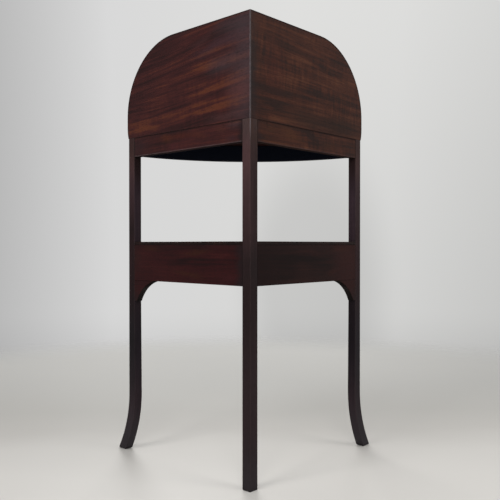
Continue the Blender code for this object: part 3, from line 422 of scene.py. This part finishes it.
MIDDLE_RAIL_MARKS = {
    "right": (
        Mark(0.185, 0.556, 0.080, 0.012, -4.0, stain=BROWN_PATCH, strength=0.7),
        Mark(0.215, 0.502, 0.080, 0.012, 5.0, stain=BROWN_PATCH, strength=0.7),
        Mark(0.360, 0.565, 0.050, 0.012, 0.0, stain=BROWN_PATCH, strength=0.6),
        Mark(0.070, 0.498, 0.060, 0.013, 0.0, stain=rgb(0.032, 0.0060, 0.0075), strength=0.6),
        Mark(0.250, 0.530, 0.090, 0.014, -8.0, tone=-0.16),
        Mark(0.110, 0.545, 0.080, 0.014, -10.0, tone=0.08),
        Mark(0.435, 0.540, 0.050, 0.060, 0.0, stain=rgb(0.016, 0.0055, 0.0050), strength=0.6),
        Mark(0.026, 0.530, 0.032, 0.500, 0.0, stain=SHOULDER_DIRT_AND_SHADE, strength=0.9),
        Mark(0.440, 0.416, 0.060, 0.052, 0.0, stain=SHOULDER_DIRT_AND_SHADE, strength=0.9),
    ),
    "left": (
        Mark(0.400, 0.530, 0.120, 0.300, 0.0, stain=rgb(0.0270, 0.0060, 0.0054), strength=0.85),
        Mark(0.360, 0.562, 0.050, 0.012, -8.0, stain=rgb(0.0330, 0.0090, 0.0066), strength=0.6),
        Mark(0.330, 0.505, 0.050, 0.012, 12.0, stain=rgb(0.0300, 0.0080, 0.0060), strength=0.5),
        Mark(0.250, 0.555, 0.060, 0.012, -6.0, stain=rgb(0.0210, 0.0058, 0.0056), strength=0.5),
        Mark(0.200, 0.520, 0.060, 0.013, -4.0, tone=0.14),
        # Darker beside the post: dirt and painted shade
        Mark(0.030, 0.530, 0.170, 0.300, 0.0, stain=rgb(0.0080, 0.0026, 0.0026), strength=0.6),
        Mark(0.440, 0.416, 0.060, 0.052, 0.0, stain=SHOULDER_DIRT_AND_SHADE, strength=0.8),
    ),
}

# Grains per metre in each part of the figure: along the grain, across it, through it
BEND_GRAIN = (1.7, 6.0, 6.0)
VEIN_GRAIN = (3.4, 120.0, 120.0)
FIBRE_GRAIN = (9.0, 330.0, 330.0)
RIPPLE_GRAIN = (110.0, 21.0, 21.0)
RIPPLE_PATCH_GRAIN = (4.0, 11.0, 11.0)
CLOUD_GRAIN = (6.0, 16.0, 16.0)
PORE_GRAIN = (75.0, 1900.0, 1900.0)
MARK_GRAIN = (14.0, 40.0, 40.0)
WEAR_GRAIN = (26.0, 60.0, 60.0)
SMEAR_GRAIN = (7.0, 16.0, 16.0)

SEED_SPREAD = (7.0, 11.0, 5.0)
BEND = (0.0, 0.05, 0.05)  # how far the grain wanders
MARK_WAVER = (0.04, 0.022, 0.0)  # how far the outline of a mark wanders
FIBRE_SHARE = 0.32
TONE_STOPS = (0.30, 0.47, 0.60, 0.76)  # from dark to light
PORE_STRENGTH = 0.55
SMEAR_ROUGHNESS = 0.22
PORE_ROUGHNESS = 0.18
PORE_HEIGHT = -0.8
FIBRE_HEIGHT = 0.5
GRAIN_BUMP = (0.25, 0.0004)  # strength and distance
RAW_RADIUS = BOW_RADIUS - 0.009  # a bowed front is unpolished inside this
RAW_BLUR = 0.0006
LINE_BREAK = 0.7  # strength of a light line of wear and painted highlight where it is faintest

# The two ends of each mask's slope
RIPPLE_PATCH_FADE = (0.34, 0.64)
PORE_FADE = (0.60, 0.74)
WEAR_FADE = (0.15, 0.95)
WEAR_PATCH_FADE = (0.30, 0.62)
SHADED_RIM_FADE = (0.08, 0.5)
FOOT_LINE_FADE = (0.40, 0.62)
WALL_FACE_FADE = (0.35, 0.85)
UNDERSIDE_FADE = (-0.95, -0.6)
CORNER_LINE_REACH = (0.0012, 0.0024)
CORNER_LINE_HEIGHTS = (0.80, 0.868)


def piece_frame(nodes, kind):
    """A place and a way to turn a normal, in a piece's frame: along the grain, across it, through it."""
    place = nodes.add("TexCoord").outputs["Object"]
    if kind == "plan":
        return place, lambda normal: normal
    if kind == "depth":
        def swap(vector):
            x, y, z = nodes.split(vector)
            return nodes.join(y, z, x)
        return swap(place), swap
    place = nodes.vector("SUBTRACT", place, CORNER)
    if kind == "bow":
        x, y, z = nodes.split(place)
        angle = nodes.math("ARCTAN2", x, nodes.math("MULTIPLY", y, -1.0))
        radius = nodes.length(nodes.join(x, y, 0.0))

        def unbend(normal):
            across, out, up = nodes.split(nodes.turn(normal, nodes.math("MULTIPLY", angle, -1.0)))
            return nodes.join(across, up, out)
        return nodes.join(nodes.math("MULTIPLY", angle, BOW_RADIUS), z, radius), unbend
    form, side = kind.split()

    def to_wall(vector):
        along, inward, up = nodes.split(nodes.turn(vector, WALL_TURNS[side]))
        return nodes.join(up, along, inward) if form == "upright" else nodes.join(along, up, inward)
    return to_wall(place), to_wall


def figure(nodes, place, look, seed, tilt):
    """The tone, fibres and pores of the wood. Pieces without a seed of their own get one each."""
    offset = seed
    if seed is None:
        offset = nodes.scale(SEED_SPREAD, nodes.add("ObjectInfo").outputs["Random"])
    grain = nodes.add("Mapping", {
        "Vector": place, "Location": offset, "Rotation": (0.0, 0.0, tilt),
    }).outputs[0]
    bend = nodes.centred(nodes.noise(grain, BEND_GRAIN))
    grain = nodes.vector("ADD", grain, nodes.scale(BEND, bend))
    fibre = nodes.noise(grain, FIBRE_GRAIN, 2.0, 0.6)
    rippled = nodes.remap(nodes.noise(grain, RIPPLE_PATCH_GRAIN), *RIPPLE_PATCH_FADE)
    tone = 0.5
    for field, share in (
        (nodes.noise(grain, look.streak, 3.0, 0.55), look.streak_share),
        (nodes.noise(grain, VEIN_GRAIN, 2.0, 0.55), look.vein_share),
        (fibre, FIBRE_SHARE),
        (nodes.noise(grain, RIPPLE_GRAIN, 1.0), nodes.math("MULTIPLY", rippled, look.ripple)),
        (nodes.noise(grain, CLOUD_GRAIN), look.cloud),
    ):
        tone = nodes.math("MULTIPLY_ADD", nodes.centred(field), share, tone)
    pore = nodes.remap(nodes.noise(grain, PORE_GRAIN, 0.0), *PORE_FADE)
    return tone, fibre, pore


def mark_mask(nodes, place, mark):
    """1 in the middle of a mark, falling to 0 at its rim."""
    local = nodes.add("Mapping", {
        "Vector": place, "Location": (mark.along, mark.up, 0.0),
        "Rotation": (0.0, 0.0, math.radians(mark.slope)), "Scale": (mark.length, mark.width, 1.0),
    }, vector_type="TEXTURE").outputs[0]
    return nodes.remap(nodes.length(local), 0.0, 1.0, 1.0, 0.0)


def coloured(nodes, place, look, tone, marks):
    """The wood's colour from its tone, with the marks of its figure, of dirt, and of painted sheen and
    shade.
    """
    waver = nodes.centred(nodes.noise(place, MARK_GRAIN, 3.0, 0.6))
    wavering = nodes.vector("ADD", place, nodes.scale(MARK_WAVER, waver))
    masks = [mark_mask(nodes, wavering, mark) for mark in marks]
    for mark, mask in zip(marks, masks):
        if not mark.stain:
            tone = nodes.math("MULTIPLY_ADD", mask, mark.tone, tone)
    tones = (look.dark, look.middle, look.warm, look.light)
    colour = nodes.ramp(tone, tuple(zip(TONE_STOPS, tones)))
    for mark, mask in zip(marks, masks):
        if mark.stain:
            colour = nodes.mix(nodes.math("MULTIPLY", mask, mark.strength), colour, mark.stain)
    return colour


def raw_inside(nodes, place, look, colour):
    """A bowed front's colour, unpolished on its inside; on the frieze, painted shade there."""
    radius = nodes.split(place)[2]
    inside = nodes.remap(radius, RAW_RADIUS - RAW_BLUR, RAW_RADIUS + RAW_BLUR, 1.0, 0.0)
    return nodes.mix(inside, colour, look.raw)


def painted_light_by_face(nodes, place, through, look, colour):
    """Painted light and shade: the colour made lighter or darker by face, and on an upright by height too.
    """
    height = nodes.split(place)[0]
    levels = [grey(1.0), grey(look.side)]
    if look.levels:
        levels = [
            nodes.ramp(height, [(stop[0], grey(stop[face])) for stop in look.levels]) for face in (1, 2)
        ]
    if look.tint:
        levels[0] = nodes.vector("MULTIPLY", levels[0], nodes.ramp(height, look.tint))
    beside = nodes.remap(nodes.math("ABSOLUTE", through), *WALL_FACE_FADE, 1.0, 0.0)
    return nodes.vector("MULTIPLY", colour, nodes.mix(beside, *levels))


def shaded_rim_mask(nodes, normal):
    """1 along a board's upper and outer edges, where shade is painted."""
    return nodes.remap(nodes.math("ADD", normal[0], normal[1]), *SHADED_RIM_FADE)


def foot_wear_and_highlight(nodes, normal):
    """1 along a rail's lower arris, where its wear and painted highlight go."""
    down = nodes.math("MULTIPLY", normal[1], -1.0)
    slant = nodes.math("MINIMUM", down, nodes.math("ABSOLUTE", normal[2]))
    return nodes.remap(slant, *FOOT_LINE_FADE)


def corner_wear_and_highlight(nodes, place, kind):
    """1 along the room's corner, where its wear and painted highlight go, fading on the post below the
    boards.
    """
    along, up, inward = nodes.split(place)
    if kind.startswith("upright"):
        along, up = up, along
    distance = nodes.length(nodes.join(along, inward, 0.0))
    line = nodes.remap(distance, *CORNER_LINE_REACH, 1.0, 0.0)
    return nodes.math("MULTIPLY", line, nodes.remap(up, *CORNER_LINE_HEIGHTS))


def worn_edges(nodes, place, kind, normal, look, colour):
    """Light worn arrises, painted shade in a dark rim along a board's upper edges, and light lines of wear
    and painted highlight as the look has them.
    """
    slant = nodes.math("MULTIPLY_ADD", nodes.math("POWER", normal[2], 2.0), 2.0, -1.0)
    edge = nodes.remap(nodes.math("SUBTRACT", 1.0, nodes.math("ABSOLUTE", slant)), *WEAR_FADE)
    patch = nodes.remap(nodes.noise(place, WEAR_GRAIN, 3.0, 0.65), *WEAR_PATCH_FADE)
    light = nodes.math("MULTIPLY", nodes.math("MULTIPLY", edge, patch), look.wear)
    if look.rim:
        # Painted shade along the upper edges
        rim = shaded_rim_mask(nodes, normal)
        light = nodes.math("MULTIPLY", light, nodes.math("SUBTRACT", 1.0, rim))
        colour = nodes.mix(nodes.math("MULTIPLY", rim, look.rim), colour, RIM_SHADE_COLOUR)
    colour = nodes.mix(light, colour, look.worn)
    broken = nodes.remap(patch, 0.0, 1.0, LINE_BREAK, 1.0)
    if look.foot:
        # Wear and a painted highlight along the lower arris
        line = nodes.math("MULTIPLY", foot_wear_and_highlight(nodes, normal), broken)
        colour = nodes.mix(nodes.math("MULTIPLY", line, look.foot), colour, FOOT_WEAR_AND_HIGHLIGHT)
    if look.arris:
        # Wear and a painted highlight down the room's corner
        line = nodes.math("MULTIPLY", corner_wear_and_highlight(nodes, place, kind), broken)
        colour = nodes.mix(nodes.math("MULTIPLY", line, look.arris), colour, ARRIS_WEAR_AND_HIGHLIGHT)
    return colour


def darkened_in_corners(nodes, dirt, colour):
    """The colour with dirt in the corners between pieces; on the wood, painted shade there too."""
    openness = nodes.add("AmbientOcclusion", {"Distance": dirt.reach}, samples=4).outputs["AO"]
    return nodes.mix(nodes.remap(openness, *dirt.fade, dirt.strength, 0.0), colour, dirt.colour)


def polish(nodes, place, normal, look, pore):
    """The wood's roughness: smeared wax, open pores, no polish on undersides and on the rims of painted
    shade.
    """
    smear = nodes.centred(nodes.noise(place, SMEAR_GRAIN, 3.0, 0.6))
    rough = nodes.math("MULTIPLY_ADD", smear, SMEAR_ROUGHNESS, look.roughness)
    rough = nodes.math("MULTIPLY_ADD", pore, PORE_ROUGHNESS, rough)
    facing_up = nodes.split(nodes.add("NewGeometry").outputs["Normal"])[2]
    rough = nodes.math("MAXIMUM", rough, nodes.remap(facing_up, *UNDERSIDE_FADE, 1.0, 0.0))
    if look.rim:
        rough = nodes.math("MAXIMUM", rough, shaded_rim_mask(nodes, normal))
    return rough


def wood(name, look, kind, seed=None, tilt=0.0, marks=()):
    """Wood with its grain along the piece."""
    material, nodes = new_material(name)
    place, to_frame = piece_frame(nodes, kind)
    soft = nodes.add("Bevel", {"Radius": look.softness}, samples=6).outputs[0]
    normal = nodes.split(to_frame(soft))
    tone, fibre, pore = figure(nodes, place, look, seed, tilt)
    colour = coloured(nodes, place, look, tone, marks)
    colour = nodes.mix(nodes.math("MULTIPLY", pore, PORE_STRENGTH), colour, PORE_COLOUR)
    if kind == "bow":
        colour = raw_inside(nodes, place, look, colour)
    if look.levels or look.side < 1.0:
        colour = painted_light_by_face(nodes, place, normal[2], look, colour)
    colour = worn_edges(nodes, place, kind, normal, look, colour)
    height = nodes.math("MULTIPLY_ADD", pore, PORE_HEIGHT, nodes.math("MULTIPLY", fibre, FIBRE_HEIGHT))
    nodes.surface({
        "Base Color": darkened_in_corners(nodes, WOOD_DIRT_AND_SHADE, colour),
        "Roughness": polish(nodes, place, normal, look, pore),
        "Specular IOR Level": look.gloss,
        "Normal": nodes.bump(height, *GRAIN_BUMP),
    })
    return material


# Brass

TARNISH_GRAIN = (160.0, 160.0, 160.0)
SCRATCH_GRAIN = (900.0, 900.0, 2600.0)
SCRATCH_BUMP = (0.12, 0.0002)  # strength and distance
BRASS_TONES = (
    (0.30, rgb(0.30, 0.185, 0.065)), (0.48, rgb(0.52, 0.35, 0.13)), (0.70, rgb(0.63, 0.46, 0.20)),
)
BRASS_POLISH = (0.3, 0.7, 0.48, 0.26)  # from tarnish to roughness
BRASS_DIRT = Dirt(rgb(0.035, 0.022, 0.010), 0.006, (0.2, 0.75), 0.85)


def worn_brass():
    material, nodes = new_material("worn_brass")
    place = nodes.add("TexCoord").outputs["Object"]
    tarnish = nodes.noise(place, TARNISH_GRAIN, 4.0, 0.65)
    nodes.surface({
        "Base Color": darkened_in_corners(nodes, BRASS_DIRT, nodes.ramp(tarnish, BRASS_TONES)),
        "Metallic": 1.0,
        "Roughness": nodes.remap(tarnish, *BRASS_POLISH),
        "Normal": nodes.bump(nodes.noise(place, SCRATCH_GRAIN), *SCRATCH_BUMP),
    })
    return material


# Smooth shading of the carried-over solids

def smoothing_group():
    """Joins the triangles of a solid and shades it smooth, with sharp edges kept."""
    group = bpy.data.node_groups.new("smooth_solid", "GeometryNodeTree")
    for way in ("INPUT", "OUTPUT"):
        group.interface.new_socket("Geometry", in_out=way, socket_type="NodeSocketGeometry")
    nodes = Tree(group, "")
    start, end = nodes.add("NodeGroupInput"), nodes.add("NodeGroupOutput")
    plain = nodes.add(
        "GeometryNodeRemoveAttribute", {"Geometry": start.outputs[0], "Name": "custom_normal"}
    )
    whole = nodes.add(
        "GeometryNodeMergeByDistance", {"Geometry": plain.outputs[0], "Distance": MERGE_DISTANCE}
    )
    angle = nodes.add("GeometryNodeInputMeshEdgeAngle").outputs[0]
    sharp = nodes.add(
        "FunctionNodeCompare", {"A": angle, "B": SMOOTH_ANGLE}, data_type="FLOAT", operation="GREATER_THAN"
    )
    faces = nodes.add(
        "GeometryNodeSetShadeSmooth", {"Geometry": whole.outputs[0], "Shade Smooth": True}, domain="FACE"
    )
    edges = nodes.add("GeometryNodeSetShadeSmooth", {
        "Geometry": faces.outputs[0], "Selection": sharp.outputs[0], "Shade Smooth": False,
    }, domain="EDGE")
    nodes.put(end.inputs[0], edges.outputs[0])
    return group


def eased_nodes():
    """The solids whose arrises are eased here, with the width and segments of each."""
    eased = {"upper_front_rail": SHARP_ARRIS, "drawer_rail": SHARP_ARRIS, "drawer_bead": ROUND_NOSE}
    for side in SIDES:
        eased[f"false_front_bead_{side}"] = ROUND_NOSE
        for piece in ("back_bracket", "front_bracket", "muntin"):
            eased[f"{piece}_{side}"] = SHARP_ARRIS
    return eased


def shade_solids():
    group = smoothing_group()
    eased = eased_nodes()
    for name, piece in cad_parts.items():
        piece.modifiers.new("smooth", "NODES").node_group = group
        if name in eased:
            flat = piece.modifiers.new("flat", "DECIMATE")
            flat.decimate_type = "DISSOLVE"
            flat.angle_limit = FLAT_ANGLE
            arris = piece.modifiers.new("arris", "BEVEL")
            arris.width, arris.segments = eased[name]
            arris.limit_method = "ANGLE"
            arris.angle_limit = SMOOTH_ANGLE
        normals = piece.modifiers.new("normals", "WEIGHTED_NORMAL")
        normals.keep_sharp = True


# Knobs

def turned(name, profile, sides):
    """A closed solid turned about local Z."""
    mesh = bmesh.new()
    rings = []
    for radius, height in profile:
        turns = [2 * math.pi * i / sides for i in range(sides)]
        rings.append([
            mesh.verts.new((radius * math.cos(turn), radius * math.sin(turn), height)) for turn in turns
        ])
    for low, high in zip(rings, rings[1:]):
        for i in range(sides):
            j = (i + 1) % sides
            mesh.faces.new((low[i], low[j], high[j], high[i]))
    mesh.faces.new(rings[0][::-1])
    mesh.faces.new(rings[-1])
    data = bpy.data.meshes.new(name)
    mesh.to_mesh(data)
    mesh.free()
    data.shade_smooth()
    data.set_sharp_from_angle(angle=SMOOTH_ANGLE)
    return data


def add_knob(node, body, brass):
    """A turned brass knob in the place of a plain one."""
    low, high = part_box(node)
    middle = (low + high) / 2
    out = Vector((middle.x, middle.y - CORNER.y, 0.0)).normalized()
    face = CORNER + BOW_RADIUS * out + Vector((0.0, 0.0, middle.z))
    tail = min((vertex.co - face).dot(out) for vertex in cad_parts[node].data.vertices)
    data = turned(f"turned_{node}", ((KNOB_SHANK, tail),) + KNOB_PROFILE, KNOB_SIDES)
    data.materials.append(brass)
    knob = bpy.data.objects.new(f"turned_{node}", data)
    knob.matrix_world = Matrix.Translation(face) @ out.to_track_quat("Z", "Y").to_matrix().to_4x4()
    bpy.context.collection.objects.link(knob)
    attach(knob, body)
    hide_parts(node)


# Glue

GLUE_GRAIN = (60.0, 60.0, 60.0)
GLUE_TONES = ((0.35, rgb(0.008, 0.004, 0.002)), (0.65, rgb(0.020, 0.010, 0.005)))


def glue_material():
    material, nodes = new_material("hide_glue")
    place = nodes.add("TexCoord").outputs["Object"]
    colour = nodes.ramp(nodes.noise(place, GLUE_GRAIN), GLUE_TONES)
    nodes.surface({"Base Color": colour, "Roughness": 0.5, "Specular IOR Level": 0.2})
    return material


def film_edges(edges, i):
    """The near and far edge of a film at one step, uneven as squeezed glue is."""
    waver = FILM_WAVER * math.sin(i * FILM_PITCH)
    return edges[0] + waver, edges[1] - waver


def shelf_film(side):
    """Sections of the film between the shelf and the back rail under it."""
    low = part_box(f"middle_back_rail_{side}")[1].z - FILM_SOAK
    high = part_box("shelf_board")[0].z + FILM_SOAK
    turn = Matrix.Rotation(-WALL_TURNS[side], 3, "Z")
    inward = 1 if side == "left" else -1
    first, last = SHELF_FILM_ENDS
    sections = []
    for i in range(FILM_STEPS + 1):
        along = first + (last - first) * i / FILM_STEPS
        near, far = film_edges(SHELF_FILM_EDGES, i)
        corners = ((near, low), (far, low), (far, high), (near, high))
        sections.append([CORNER + turn @ Vector((along, inward * depth, z)) for depth, z in corners])
    return sections


def mitre_film():
    """Sections of the film between the two splash boards, from their foot to their top."""
    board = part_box("splash_board_right")
    half = board[0].x + FILM_SOAK
    sections = []
    for i in range(FILM_STEPS + 1):
        z = board[0].z + (board[1].z - board[0].z) * i / FILM_STEPS
        near, far = film_edges(MITRE_FILM_EDGES, i)
        corners = ((-half, near), (half, near), (half, far), (-half, far))
        sections.append([CORNER + Vector((x, -depth, z)) for x, depth in corners])
    return sections


def add_film(name, sections, material):
    """A closed film through four-cornered sections."""
    mesh = bmesh.new()
    rings = [[mesh.verts.new(corner) for corner in section] for section in sections]
    for first, second in zip(rings, rings[1:]):
        for i in range(4):
            j = (i + 1) % 4
            mesh.faces.new((first[i], first[j], second[j], second[i]))
    mesh.faces.new(rings[0][::-1])
    mesh.faces.new(rings[-1])
    bmesh.ops.recalc_face_normals(mesh, faces=mesh.faces)
    data = bpy.data.meshes.new(name)
    mesh.to_mesh(data)
    mesh.free()
    data.materials.append(material)
    film = bpy.data.objects.new(name, data)
    bpy.context.collection.objects.link(film)
    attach(film, "stand")


def add_glue():
    glue = glue_material()
    for side in SIDES:
        add_film(f"glue_film_{side}", shelf_film(side), glue)
    add_film("glue_film_mitre", mitre_film(), glue)


# What each node is made of

def finish(names, material):
    for name in names:
        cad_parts[name].material_slots[0].material = material


def finish_wall(side):
    """The boards and rails along one wall."""
    wall = f"wall {side}"
    splash = wood(
        f"splash_{side}_wood", BOARDS[side], wall, BOARD_SEEDS[side], BOARD_TILTS[side], SPLASH_MARKS[side]
    )
    finish([f"splash_board_{side}"], splash)
    # The upper rail's edges are darker, painted shade; its lower arris has wear and a painted highlight
    upper = BOARDS[side]._replace(arris=0.0, side=0.5, foot=RAIL_FOOT_WEAR_AND_HIGHLIGHT[side])
    upper_wood = wood(f"upper_rail_{side}_wood", upper, wall, marks=RAIL_MARKS[side])
    finish([f"upper_back_rail_{side}"], upper_wood)
    marks = MIDDLE_RAIL_MARKS[side]
    finish([f"middle_back_rail_{side}"], wood(f"middle_rail_{side}_wood", RAILS[side], wall, marks=marks))
    # The bracket's edges are much darker: painted shade
    bracket = RAILS[side]._replace(side=0.25, rim=0.0)
    finish([f"back_bracket_{side}"], wood(f"bracket_{side}_wood", bracket, wall, marks=marks))
    blocks = [f"glue_block_{side}_{i}" for i in (1, 2)]
    finish(blocks, wood(f"block_{side}_wood", BLOCK_WOOD, wall))


def finish_uprights(side):
    """The leg and the dowels at one wall."""
    upright = f"upright {side}"
    leg = LEG_WOOD._replace(levels=LEG_PAINTED_LIGHT[side])
    finish([f"front_leg_{side}"], wood(f"leg_{side}_wood", leg, upright, marks=LEG_MARKS))
    dowels = [f"splash_dowel_{side}_{i}" for i in (1, 2, 3)]
    finish(dowels, wood(f"dowel_{side}_wood", INNER_WOOD, upright))


def finish_middle():
    finish(["back_post"], wood("post_wood", POST_WOOD, "upright right", marks=POST_MARKS))
    finish([f"muntin_{side}" for side in SIDES], wood("muntin_wood", FRAME_WOOD, "upright right"))
    finish(["upper_front_rail"], wood("frieze_wood_shaded_inside", FRIEZE_WOOD_SHADED_INSIDE, "bow"))
    bows = ["drawer_rail"] + [f"front_bracket_{side}" for side in SIDES]
    finish(bows, wood("bow_wood", FRAME_WOOD, "bow"))
    beads = ["drawer_bead"] + [f"false_front_bead_{side}" for side in SIDES]
    finish(beads, wood("bead_wood", BEAD_WOOD, "bow"))
    fronts = ["drawer_front"] + [f"false_front_{side}" for side in SIDES]
    finish(fronts, wood("front_wood", FRONT_BOARD, "bow"))
    finish(["top_board"], wood("top_wood", FRONT_BOARD, "plan"))
    finish(["shelf_board"], wood("shelf_wood", SHELF_WOOD, "plan"))
    finish(["drawer_bottom", "drawer_back"], wood("drawer_inner_wood", INNER_WOOD, "plan"))
    ways = [f"drawer_{piece}_{side}" for piece in ("side", "runner", "guide") for side in SIDES]
    finish(ways, wood("drawer_way_wood", INNER_WOOD, "depth"))
    finish([f"drawer_stop_{side}" for side in SIDES], wood("stop_wood", INNER_WOOD, "bow"))
    finish([f"glue_block_{side}_front" for side in SIDES], wood("block_front_wood", BLOCK_WOOD, "bow"))


def finish_brass():
    brass = worn_brass()
    add_knob("knob_drawer", "drawer", brass)
    for side in SIDES:
        add_knob(f"knob_false_{side}", "stand", brass)
    finish(["knob_nut_drawer"] + [f"knob_nut_false_{side}" for side in SIDES], brass)


# Stage, light and camera

FLOOR_RADIUS = 3.2
FLOOR_SIDES = 96
FLOOR_END = (1.75, 2.5)  # distances at which the floor gives way to the backdrop
FLOOR_TO_OBJECT = rgb(0.45, 0.44, 0.42)
# The floor as the camera sees it, from the far side of the stand to the near one, with painted shade that
# is darkest just beyond the stand
FLOOR_TONES_AND_SHADE = (
    (0.04, rgb(0.58, 0.575, 0.555)), (0.26, rgb(0.53, 0.525, 0.505)),
    (0.37, rgb(0.51, 0.500, 0.475)), (0.43, rgb(0.54, 0.525, 0.500)),
    (0.48, rgb(0.62, 0.605, 0.580)), (0.53, rgb(0.65, 0.635, 0.610)),
)
FLOOR_STEP = 0.25  # of the tones, in one metre
FLOOR_MOTTLE = 0.05
MOTTLE_GRAIN = (2.5, 2.5, 2.5)
FLOOR_SHADE_SLOPE = (-0.6, 0.3, 1.0, 0.91)  # painted shade: from X to how light the floor is, darker towards +X

# The backdrop as the camera sees it, from the photo's right to its left
WALL_TONES = (
    (0.00, rgb(0.52, 0.52, 0.51)), (0.14, rgb(0.60, 0.60, 0.59)), (0.25, rgb(0.66, 0.66, 0.65)),
    (0.40, rgb(0.69, 0.69, 0.68)), (0.66, rgb(0.68, 0.68, 0.68)), (0.82, rgb(0.48, 0.48, 0.48)),
    (1.00, rgb(0.38, 0.38, 0.38)),
)
WALL_RISE = (-0.6, 0.14)  # how much lighter it is higher up: by X, and everywhere
WALL_FOOT = (-0.17, -0.09, 0.90, 1.0)  # from height to how light it is
SHADOW_ACROSS = (9.0, 1.22)  # scale and shift that make the soft shadow's oval a circle
SHADOW_UP = (4.5, 0.25)
SHADOW_EDGE = (0.5, 1.2, 0.84, 1.0)  # from the oval's middle to how light it is
AMBIENT = 0.42

LAMP_COLOUR = (1.0, 0.99, 0.97)
LAMP_TARGET = Vector((0.0, 0.1, 0.6))
LAMPS = (  # name, place, side of the square, power
    ("key_left", (1.9, 1.8, 2.3), 1.1, 36.0),
    ("key_right", (-2.0, 1.3, 2.2), 1.1, 20.0),
    ("fill_back", (0.2, 2.9, 1.7), 1.6, 36.0),
    ("fill_front", (0.4, -2.5, 2.1), 1.4, 32.0),
)


def floor_paint():
    """Pale paint that is seen from above only, brighter to the camera than to the object, with painted
    shade on it.
    """
    material, nodes = new_material("floor_paint")
    place = nodes.add("TexCoord").outputs["Object"]
    path = nodes.add("LightPath").outputs
    depth = nodes.math("MULTIPLY_ADD", nodes.split(place)[1], FLOOR_STEP, 0.5)
    mottle = nodes.centred(nodes.noise(place, MOTTLE_GRAIN, 3.0))
    seen = nodes.ramp(nodes.math("MULTIPLY_ADD", mottle, FLOOR_MOTTLE, depth), FLOOR_TONES_AND_SHADE)
    seen = nodes.scale(seen, nodes.remap(nodes.split(place)[0], *FLOOR_SHADE_SLOPE))
    colour = nodes.mix(path["Is Camera Ray"], FLOOR_TO_OBJECT, seen)
    paint = nodes.add("BsdfPrincipled", {
        "Base Color": colour, "Roughness": 0.45, "Specular IOR Level": 0.25,
    })
    gone = nodes.add("BsdfTransparent")
    far = nodes.remap(nodes.length(place), *FLOOR_END)
    hidden = nodes.math("MAXIMUM", far, nodes.add("NewGeometry").outputs["Backfacing"])
    shown = nodes.add("MixShader", {0: hidden, 1: paint.outputs[0], 2: gone.outputs[0]})
    nodes.add("OutputMaterial", {"Surface": shown.outputs[0]})
    return material


def add_floor():
    mesh = bmesh.new()
    bmesh.ops.create_circle(mesh, cap_ends=True, segments=FLOOR_SIDES, radius=FLOOR_RADIUS)
    data = bpy.data.meshes.new("floor")
    mesh.to_mesh(data)
    mesh.free()
    data.materials.append(floor_paint())
    floor = bpy.data.objects.new("floor", data)
    bpy.context.collection.objects.link(floor)


def backdrop_strength(nodes, x, y, z):
    """How light the backdrop is: more so higher up, less at its foot and in the stand's soft shadow."""
    shadow = nodes.length(nodes.join(
        nodes.math("MULTIPLY_ADD", x, *SHADOW_ACROSS), 0.0, nodes.math("MULTIPLY_ADD", z, *SHADOW_UP),
    ))
    behind = nodes.math("MULTIPLY_ADD", nodes.math("GREATER_THAN", y, 0.0), 2.0, shadow)
    shade = nodes.math("MULTIPLY", nodes.remap(behind, *SHADOW_EDGE), nodes.remap(z, *WALL_FOOT))
    rise = nodes.math("MULTIPLY", z, nodes.math("MULTIPLY_ADD", x, *WALL_RISE))
    return nodes.math("ADD", rise, shade)


def add_world():
    """Soft light all round, and a pale backdrop for the camera and for reflections."""
    world = bpy.data.worlds.new("studio")
    bpy.context.scene.world = world
    world.use_nodes = True
    nodes = Tree(world.node_tree)
    x, y, z = nodes.split(nodes.add("TexCoord").outputs["Generated"])
    wall = nodes.ramp(nodes.math("ADD", x, 0.5), WALL_TONES)
    backdrop = nodes.add("Background", {"Color": wall, "Strength": backdrop_strength(nodes, x, y, z)})
    ambient = nodes.add("Background", {"Color": grey(1.0), "Strength": AMBIENT})
    path = nodes.add("LightPath").outputs
    seen = nodes.math("MAXIMUM", path["Is Camera Ray"], path["Is Glossy Ray"])
    seen = nodes.math("MAXIMUM", seen, path["Is Transmission Ray"])
    both = nodes.add("MixShader", {0: seen, 1: ambient.outputs[0], 2: backdrop.outputs[0]})
    nodes.add("OutputWorld", {"Surface": both.outputs[0]})


def add_lamp(name, place, side, power):
    data = bpy.data.lights.new(name, "AREA")
    data.shape = "SQUARE"
    data.size = side
    data.energy = power
    data.color = LAMP_COLOUR
    lamp = bpy.data.objects.new(name, data)
    lamp.location = place
    lamp.rotation_euler = (LAMP_TARGET - Vector(place)).to_track_quat("-Z", "Y").to_euler()
    bpy.context.collection.objects.link(lamp)


def add_camera():
    data = bpy.data.cameras.new("camera")
    data.lens = CAMERA_LENS
    data.sensor_width = CAMERA_SENSOR
    camera = bpy.data.objects.new("camera", data)
    camera.location = CAMERA_PLACE
    camera.rotation_euler = Vector(CAMERA_WAY).to_track_quat("-Z", "Y").to_euler()
    bpy.context.collection.objects.link(camera)
    bpy.context.scene.camera = camera


shade_solids()
for side in SIDES:
    finish_wall(side)
    finish_uprights(side)
finish_middle()
finish_brass()
add_glue()
add_floor()
add_world()
for lamp in LAMPS:
    add_lamp(*lamp)
add_camera()
bpy.context.scene.view_settings.view_transform = "Standard"
